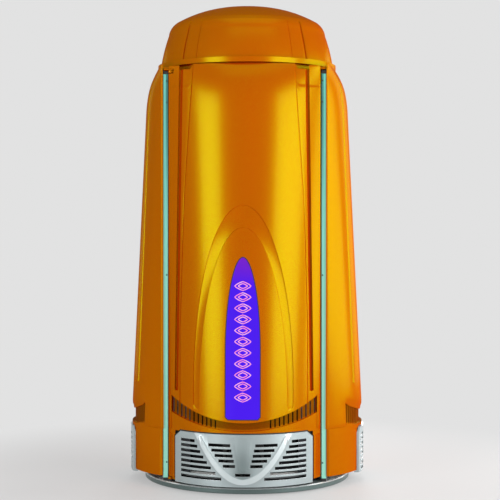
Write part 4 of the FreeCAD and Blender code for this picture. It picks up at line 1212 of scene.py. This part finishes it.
@dataclass(frozen=True)
class Dome:
    """The round roof cover: raised front and rear panels between creases, and four grooves."""

    # The face from the collar to the outlet, as (radius, height).
    outline: tuple[Spot, ...] = (
        (425.0, 1994), (421.5, 2020), (416.7, 2048), (410.7, 2076), (403.6, 2104), (395.4, 2132),
        (386.0, 2160), (383.9, 2172), (379.9, 2184), (373.6, 2196), (365.3, 2207), (353.1, 2218),
        (335.0, 2228), (314.0, 2238.9), (290.0, 2250.1), (262.0, 2261.6), (232.0, 2272.2),
        (200.0, 2281.5), (166.0, 2289.3), (130.0, 2295.3))
    crease_turn: float = 31.9
    groove_turn: float = 43.5
    groove_half: float = 0.70
    groove_depth: float = 7.0
    groove_top: float = 2205.0
    raised: float = 3.0
    raised_top: float = 2200.0
    line_depth: float = 2.4
    wall: float = 5.0
    rounding: float = 1.2
    lean: Spot = (2100.0, 2290.0)
    lean_share: float = 0.85
    fade: float = 5.0
    groove_end: float = 8.0
    crease_shifts: tuple[float, ...] = (-0.4, -0.2, 0.0, 0.1, 0.2, 0.3, 0.4)
    groove_shares: tuple[float, ...] = (
        -1.1, -0.95, -0.8, -0.62, -0.4, 0, 0.4, 0.62, 0.8, 0.95, 1.1)
    front_count: int = 14
    side_count: int = 22

    def press(self, turn: float, height: float) -> float:
        """How deep the face is pressed at an angle from the front, in degrees."""
        fade = 1 - ease(height, self.raised_top, self.raised_top + self.fade)
        swell = self.raised * (1 - ease(turn, self.crease_turn - 0.35, self.crease_turn + 0.35))
        away = abs(turn - self.groove_turn) / self.groove_half
        rise = max(0.0, height - self.groove_top + self.groove_end) / self.groove_end
        groove = self.groove_depth * (1 - ease(math.hypot(away, rise), 0.45, 1.05))
        line = self.line_depth * max(0.0, 1 - abs(turn - self.crease_turn - 0.2) / 0.22)
        return groove - swell * fade + line * fade

    def turns(self) -> list[float]:
        """The columns of a quarter, as angles from the front, with each line's own columns."""
        crease, groove = self.crease_turn, self.groove_turn
        marks = [crease * i / self.front_count for i in range(self.front_count)]
        marks += [crease + shift for shift in self.crease_shifts]
        marks += [mix(crease + 0.4, groove - 0.8, i / 5) for i in range(1, 5)]
        marks += [groove + self.groove_half * share for share in self.groove_shares]
        return marks + [mix(groove + 0.8, 90, i / self.side_count)
                        for i in range(1, self.side_count + 1)]

    def profile(self) -> list[Spot]:
        """The outline from the collar to the outlet, with closer levels at the pressed edges."""
        points = [self.outline[0]]
        for start, end in zip(self.outline, self.outline[1:]):
            count = 5 if 2180 < start[1] < 2207 else 2
            points += [between(start, end, i / count) for i in range(1, count + 1)]
        return points

    def pair(self, radius: float, height: float, angle: float) -> Pair:
        """The face and back points of the wall at an angle from the front, in degrees."""
        lean = ease(height, *self.lean)
        fold = min(angle, 360 - angle)
        depth = self.press(min(fold, 180 - fold), height)
        around = math.radians(angle % 360)
        out = Vector((math.sin(around), -math.cos(around), 0))
        inward = out * -(1 - self.lean_share * lean) + Vector((0, 0, -lean))
        face = out * radius + Vector((0, 0, height)) + inward * depth
        return face, face + inward * self.wall

    def build(self, wardrobe: Wardrobe) -> None:
        """Makes the dome, closed at its edges, and puts it in the plain one's place."""
        skin = Skin("dome_moulding")
        quarter = self.turns()
        around = quarter + [180 - turn for turn in reversed(quarter[:-1])]
        around += [180 + turn for turn in quarter[1:]]
        around += [360 - turn for turn in reversed(quarter[1:-1])]
        around.append(360.0)
        skin.grid([[self.pair(*level, angle) for angle in around] for level in self.profile()])
        place(skin.build(self.rounding), wardrobe, "lacquer", CABIN, "orange_shell", "dome")


# ------------------------------------------------------------------------------------------
# Beads and patterns grown by Geometry Nodes
# ------------------------------------------------------------------------------------------
class Growth(NodeTree):
    """A Geometry Nodes tree with named inputs, whose result is baked into a plain mesh."""

    def __init__(self, name: str) -> None:
        """Starts a tree that takes and gives geometry."""
        super().__init__(bpy.data.node_groups.new(name, "GeometryNodeTree"))
        for way in ("INPUT", "OUTPUT"):
            self.tree.interface.new_socket("Geometry", in_out=way,
                                           socket_type="NodeSocketGeometry")
        self.entry = self.node("NodeGroupInput")
        self.sizes: dict[str, Any] = {}

    def size(self, name: str, kind: str, value: Any) -> bpy.types.NodeSocket:
        """Adds a named input and returns its socket inside the tree."""
        made = self.tree.interface.new_socket(name, in_out="INPUT", socket_type=kind)
        self.sizes[made.identifier] = value
        return self.entry.outputs[name]

    def tube(self, size: str, radius: float, resolution: Any, caps: bool) -> bpy.types.NodeSocket:
        """Sweeps a round section along the edges that the tree starts from.

        Args:
            size: The name of the radius input.
            radius: The section's radius in millimetres.
            resolution: How many sides the section has.
            caps: Whether open ends are closed.

        Returns:
            The geometry.
        """
        thickness = self.size(size, "NodeSocketFloat", radius * MILLIMETRE)
        line = self.node("GeometryNodeMeshToCurve", inputs={0: self.entry.outputs[0]})
        ring = self.node("GeometryNodeCurvePrimitiveCircle", inputs={
            "Resolution": resolution, "Radius": thickness})
        swept = self.node("GeometryNodeCurveToMesh", inputs={
            "Curve": line.outputs[0], "Profile Curve": ring.outputs[0], "Fill Caps": caps})
        return swept.outputs[0]

    def bake(self, name: str, mesh: bpy.types.Mesh, result: bpy.types.NodeSocket,
             material: bpy.types.Material) -> bpy.types.Object:
        """Ends the tree, runs it on a mesh and keeps the plain result.

        Args:
            name: The piece's name.
            mesh: What the tree starts from.
            result: The geometry to keep.
            material: What it wears.

        Returns:
            The piece.
        """
        real = self.node("GeometryNodeRealizeInstances", inputs={0: result})
        smooth = self.node("GeometryNodeSetShadeSmooth", inputs={0: real.outputs[0]})
        worn = self.node("GeometryNodeSetMaterial", inputs={
            0: smooth.outputs[0], "Material": material})
        self.node("NodeGroupOutput", inputs={0: worn.outputs[0]})
        piece = added(name, mesh)
        modify(piece, "NODES", node_group=self.tree)
        for identifier, value in self.sizes.items():
            piece.modifiers[0][identifier] = value
        return settled(piece, 60)


Path = list[Vector]
TUBE_SIDES = 8


def beads(name: str, paths: list[Path], radius: float, closed: bool,
          material: bpy.types.Material) -> bpy.types.Object:
    """Round beads along paths.

    Args:
        name: The piece's name.
        paths: Lines of points in millimetres.
        radius: The bead's radius in millimetres.
        closed: Whether each path runs back to its start.
        material: What the beads wear.

    Returns:
        The piece.
    """
    points: list[Vector] = []
    edges: list[tuple[int, int]] = []
    for path in paths:
        start = len(points)
        points += path
        edges += [(i, i + 1) for i in range(start, len(points) - 1)]
        if closed:
            edges.append((len(points) - 1, start))
    growth = Growth(f"{name} growth")
    sides = growth.size("Bead Sides", "NodeSocketInt", TUBE_SIDES)
    swept = growth.tube("Bead Radius", radius, sides, True)
    return growth.bake(name, meshed(name, points, edges, []), swept, material)


@dataclass(frozen=True)
class Grilles:
    """The louvred grilles, with a rolled lip under each slot, in a paler silver that paints a
    highlight on it.
    """

    wide_half: float = 319.0
    wide_top: float = 283.0
    narrow_half: float = 150.0
    narrow_top: float = 261.0
    rows: int = 8
    pitch: float = 23.5
    slot: float = 11.0
    widened: float = 3.6
    radius: float = 1.3
    proud: float = 6.4
    margin: float = 14.0
    first: float = 31.0
    border: float = 30.0
    foot: float = 96.0
    foot_half: float = 34.0
    rib_half: float = 206.0
    rib_low: float = 68.0
    rib_top: float = 270.0
    rib_room: float = 12.0
    keel_half: float = 14.0
    keel_low: float = 118.0
    keel_spread: float = 36.0
    lip_gap: float = 0.4
    lip_step: float = 12.0
    wide_corner: float = 337.0
    wide_reach: float = 533.0
    narrow_reach: float = 564.0

    def rib(self, height: float, offset: float) -> float:
        """Half the width of the V rib's edge at a height."""
        low = self.rib_low - offset
        return (self.rib_half + offset) * math.sqrt(
            max(0.0, (height - low) / (self.rib_top - low)))

    def keel(self, height: float) -> float:
        """Half the width of the keel at a height."""
        rise = self.rib_top - self.keel_low
        return self.keel_half + self.keel_spread * (height - self.keel_low) / rise

    def face(self, wide: bool, azimuth: float) -> BowedFace:
        """The upright face of one grille."""
        half, corner, reach = (WIDE_HALF, self.wide_corner, self.wide_reach) if wide else (
            NARROW_HALF, NARROW_CORNER, self.narrow_reach)
        return BowedFace(half, corner, ((0.0, reach), (self.wide_top, reach)), azimuth)

    def slots(self, wide: bool) -> list[tuple[float, float, float]]:
        """Each slot's ends and lower edge on one side, as (start, end, height)."""
        found = []
        for row in range(self.rows):
            if not wide:
                low = self.narrow_top - self.first - row * self.pitch - self.slot
                start = max(self.keel(low), self.keel_half)
                found.append((start, self.narrow_half - self.border, low))
                continue
            top = self.wide_top - self.first - row * self.pitch
            found.append((self.rib(top, self.rib_room) + self.margin, self.wide_half - self.border,
                          top - self.slot))
            top -= self.pitch / 2
            low = top - self.slot
            start = self.keel(top) + self.margin
            end = self.rib(low, -self.rib_room) - self.margin
            if low > self.keel_low and end > start + self.margin:
                found.append((start, end, low))
        return found

    def paths(self, face: BowedFace, wide: bool) -> list[Path]:
        """The lips' lines on one grille."""
        drop = self.widened + self.lip_gap
        lines = []
        for start, end, low in self.slots(wide):
            count = max(2, round((end - start) / self.lip_step))
            for side in (-1, 1):
                lines.append([face.point(side * mix(start, end, i / count), low - drop, -self.proud)
                              for i in range(count + 1)])
        if wide:
            lines.append([face.point(self.foot_half * share, self.foot - drop, -self.proud)
                          for share in (-1, -0.5, 0, 0.5, 1)])
        return lines

    def boxes(self, wide: bool) -> list[tuple[Colour, Colour]]:
        """Boxes that cut each slot deeper, and up to the V rib."""
        spans = [(*sorted((side * start, side * end)), low, low + self.slot)
                 for start, end, low in self.slots(wide) for side in (-1, 1)]
        if wide:
            spans.append((-self.foot_half, self.foot_half, self.foot, self.foot + 1))
        return [((x0, -600.0, low - self.widened), (x1, -300.0, top)) for x0, x1, low, top in spans]

    def build(self, wardrobe: Wardrobe, nodes: dict[str, bpy.types.Object]) -> None:
        """Makes the four grilles, and the lips of the door's one and of the fixed ones."""
        lips: dict[str, list[Path]] = {DOOR: [], CABIN: []}
        for side, azimuth in (("door", 0), ("right", 90), ("rear", 180), ("left", 270)):
            wide, node = azimuth % 180 == 0, f"{side}_grille"
            body = DOOR if side == "door" else CABIN
            piece = carved(copied(nodes[node], f"{side}_louvres"), self.boxes(wide), azimuth)
            place(weighted(piece), wardrobe, "grille silver", body, "silver_grille", node)
            lips[body] += self.paths(self.face(wide, azimuth), wide)
        for body, paths in lips.items():
            piece = beads(f"{body}_grille_lips", paths, self.radius, False,
                          wardrobe.material("lip silver"))
            place(piece, wardrobe, "lip silver", body, "silver_grille")


@dataclass(frozen=True)
class SignPattern:
    """A plain column of outlined lozenges on the lit sign, and the dark gasket round it."""

    count: int = 11
    low: float = 452.0
    pitch: float = 50.5
    half_width: float = 37.0
    half_height: float = 20.0
    tube: float = 2.3
    inner_share: float = 0.56
    corners: int = 32
    roundness: float = 1.25
    proud: float = 1.2
    gasket_radius: float = 2.6
    gasket_inset: float = 1.0
    gasket_proud: float = 0.6

    def lozenge(self, share: float) -> Path:
        """A lozenge with rounded corners, facing the front."""
        points = []
        for i in range(self.corners):
            turn = 2 * math.pi * i / self.corners
            across, up = math.cos(turn), math.sin(turn)
            away = abs(across) ** self.roundness + abs(up) ** self.roundness
            size = share / away ** (1 / self.roundness)
            points.append(Vector((self.half_width * across * size, 0,
                                  self.half_height * up * size)))
        return points

    def pattern(self, material: bpy.types.Material) -> bpy.types.Object:
        """The lozenges, repeated up the sign's leaning face."""
        points = self.lozenge(1.0) + self.lozenge(self.inner_share)
        edges = [(start + i, start + (i + 1) % self.corners) for start in (0, self.corners)
                 for i in range(self.corners)]
        face = DOOR_PLAN.face
        first = face.point(0, self.low, -self.proud)
        step = (face.point(0, self.low + self.pitch, -self.proud) - first) * MILLIMETRE
        growth = Growth("sign pattern growth")
        swept = growth.tube("Tube Radius", self.tube, TUBE_SIDES, False)
        count = growth.size("Lozenge Count", "NodeSocketInt", self.count)
        start = growth.size("First Lozenge", "NodeSocketVector", tuple(first * MILLIMETRE))
        offset = growth.size("Lozenge Step", "NodeSocketVector", tuple(step))
        places = growth.node("GeometryNodeMeshLine", inputs={
            "Count": count, "Start Location": start, "Offset": offset})
        column = growth.node("GeometryNodeInstanceOnPoints", inputs={
            "Points": places.outputs[0], "Instance": swept})
        mesh = meshed("sign_pattern", points, edges, [])
        return growth.bake("sign_pattern", mesh, column.outputs[0], material)

    def gasket(self, material: bpy.types.Material) -> bpy.types.Object:
        """The dark rubber bead in the joint round the sign."""
        right = [(x - self.gasket_inset * (x > self.gasket_inset), z)
                 for x, z in DOOR_PLAN.sign_loop()]
        loop = right + [(-x, z) for x, z in reversed(right[1:-1])]
        path = [DOOR_PLAN.face.point(x, z, -self.gasket_proud) for x, z in loop]
        return beads("sign_gasket", [path], self.gasket_radius, True, material)

    def build(self, wardrobe: Wardrobe) -> None:
        """Makes both and lets them ride on the door."""
        place(self.pattern(wardrobe.material("neon")), wardrobe, "neon", DOOR, "sign_acrylic")
        place(self.gasket(wardrobe.material("rubber")), wardrobe, "rubber", DOOR, "rubber")


@dataclass(frozen=True)
class SideAprons:
    """The lower mouldings of the two sides, with their edges thinned where the fins stand."""

    inner: float = 358.0
    outer: float = 384.6
    edge: float = 318.0
    edge_end: float = 338.0
    low: float = 56.0
    high: float = 462.0

    def build(self, wardrobe: Wardrobe, nodes: dict[str, bpy.types.Object]) -> None:
        """Makes both from the plain ones."""
        for side, sign in (("right", 1), ("left", -1)):
            piece = copied(nodes[f"{side}_apron"], f"{side}_apron_moulding")
            near, far = sorted((sign * self.inner, sign * self.outer))
            for end in (-1, 1):
                front, back = sorted((end * self.edge, end * self.edge_end))
                carved(piece, [((near, front, self.low), (far, back, self.high))])
            place(weighted(piece), wardrobe, "seat lacquer", CABIN, "orange_shell",
                  f"{side}_apron")


# ------------------------------------------------------------------------------------------
# Studio
# ------------------------------------------------------------------------------------------
@dataclass(frozen=True)
class Softbox:
    """A tall soft lamp that stands round the booth and faces its axis."""

    name: str
    azimuth: float
    distance: float
    level: float
    width: float
    height: float
    power: float
    aim: float = 1.15

    def stand(self) -> None:
        """Adds the lamp. Azimuth 0 is in front of the door and 90 is on the right."""
        lamp = bpy.data.lights.new(self.name, "AREA")
        lamp.shape = "RECTANGLE"
        lamp.size, lamp.size_y = self.width, self.height
        lamp.energy = self.power
        stand = added(self.name, lamp)
        turn = math.radians(self.azimuth)
        stand.location = (self.distance * math.sin(turn), -self.distance * math.cos(turn),
                          self.level)
        aim = Vector((0, 0, self.aim)) - stand.location
        stand.rotation_euler = aim.to_track_quat("-Z", "Y").to_euler()


@dataclass(frozen=True)
class Studio:
    """Camera, pale floor, world and lamps."""

    camera_distance: float = 6.55
    camera_height: float = 1.235
    camera_azimuth: float = 2.1
    sensor: float = 36.0
    focal_pixels: float = 1326.0
    frame_pixels: float = 500.0
    horizon_pixel: float = 225.0
    axis_pixel: float = 247.0
    backdrop: float = 0.76
    fill: float = 0.26
    floor_half: float = 12.0
    floor_glow: float = 0.5
    floor_tone: float = 0.74
    floor_fade: Spot = (0.7, 4.4)

    def build(self) -> None:
        """Sets the whole studio up."""
        self._camera()
        self._floor()
        self._world()
        for box in (
                Softbox("right_softbox", 48, 4.2, 1.55, 2.5, 2.9, 102),
                Softbox("far_right_softbox", 96, 3.8, 1.55, 2.8, 2.9, 88),
                Softbox("right_rim", 140, 3.9, 1.55, 1.5, 2.9, 44),
                Softbox("left_softbox", -37, 4.4, 1.55, 1.7, 2.9, 72),
                Softbox("left_rim", -140, 3.8, 1.55, 0.5, 2.8, 9),
                Softbox("rear_softbox", 176, 4.6, 1.6, 1.6, 2.9, 50),
                Softbox("top_softbox", 10, 1.2, 4.6, 3.0, 3.0, 14)):
            box.stand()
        bpy.context.scene.view_settings.view_transform = "Standard"

    def _camera(self) -> None:
        """A level camera whose frame is shifted down to take in the foot."""
        lens = bpy.data.cameras.new("camera")
        lens.sensor_width = self.sensor
        lens.lens = self.sensor * self.focal_pixels / self.frame_pixels
        middle = self.frame_pixels / 2
        lens.shift_x = (middle - self.axis_pixel) / self.frame_pixels
        lens.shift_y = (self.horizon_pixel - middle) / self.frame_pixels
        camera = added("camera", lens)
        turn = math.radians(self.camera_azimuth)
        camera.location = (self.camera_distance * math.sin(turn),
                           -self.camera_distance * math.cos(turn), self.camera_height)
        camera.rotation_euler = (math.pi / 2, 0, turn)
        bpy.context.scene.camera = camera

    def _floor(self) -> None:
        """A plain pale floor."""
        half = self.floor_half
        mesh = bpy.data.meshes.new("floor")
        mesh.from_pydata([(-half, -half, 0), (half, -half, 0), (half, half, 0), (-half, half, 0)],
                         [], [(0, 1, 2, 3)])
        shader = Shader("studio_floor")
        across, along, _ = shader.axes()
        away = (across * across + along * along).step(*self.floor_fade)
        body = shader.surface({"Base Color": (self.floor_tone,) * 3, "Roughness": 0.6})
        glow = shader.node("ShaderNodeEmission", inputs={
            "Color": (self.backdrop,) * 3, "Strength": 1.0}).outputs[0]
        faded = shader.mixed(away, shader.mixed(self.floor_glow, body, glow), glow)
        mesh.materials.append(shader.finish(shader.mixed(shader.seen_ray(), body, faded)))
        added("studio_floor", mesh)

    def _world(self) -> None:
        """A pale background for camera and mirror rays, and a softer fill for the rest."""
        world = bpy.data.worlds.new("studio")
        world.use_nodes = True
        world.node_tree.nodes.clear()
        bpy.context.scene.world = world
        tree = NodeTree(world.node_tree)
        fill, seen = (tree.node("ShaderNodeBackground", inputs={0: (level,) * 3}).outputs[0]
                      for level in (self.fill, self.backdrop))
        mixed = tree.mixed(tree.seen_ray(), fill, seen)
        tree.node("ShaderNodeOutputWorld", inputs={0: mixed})


def main() -> None:
    """Builds the booth and its studio, and reports each piece."""
    logging.basicConfig(level=logging.INFO, format="%(name)s: %(message)s")
    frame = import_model()
    wardrobe = Wardrobe()
    wardrobe.dress_frame(frame["nodes"])
    Shells().build(wardrobe)
    Dome().build(wardrobe)
    Grilles().build(wardrobe, frame["nodes"])
    SignPattern().build(wardrobe)
    SideAprons().build(wardrobe, frame["nodes"])
    Studio().build()


if __name__ == "__main__":
    main()
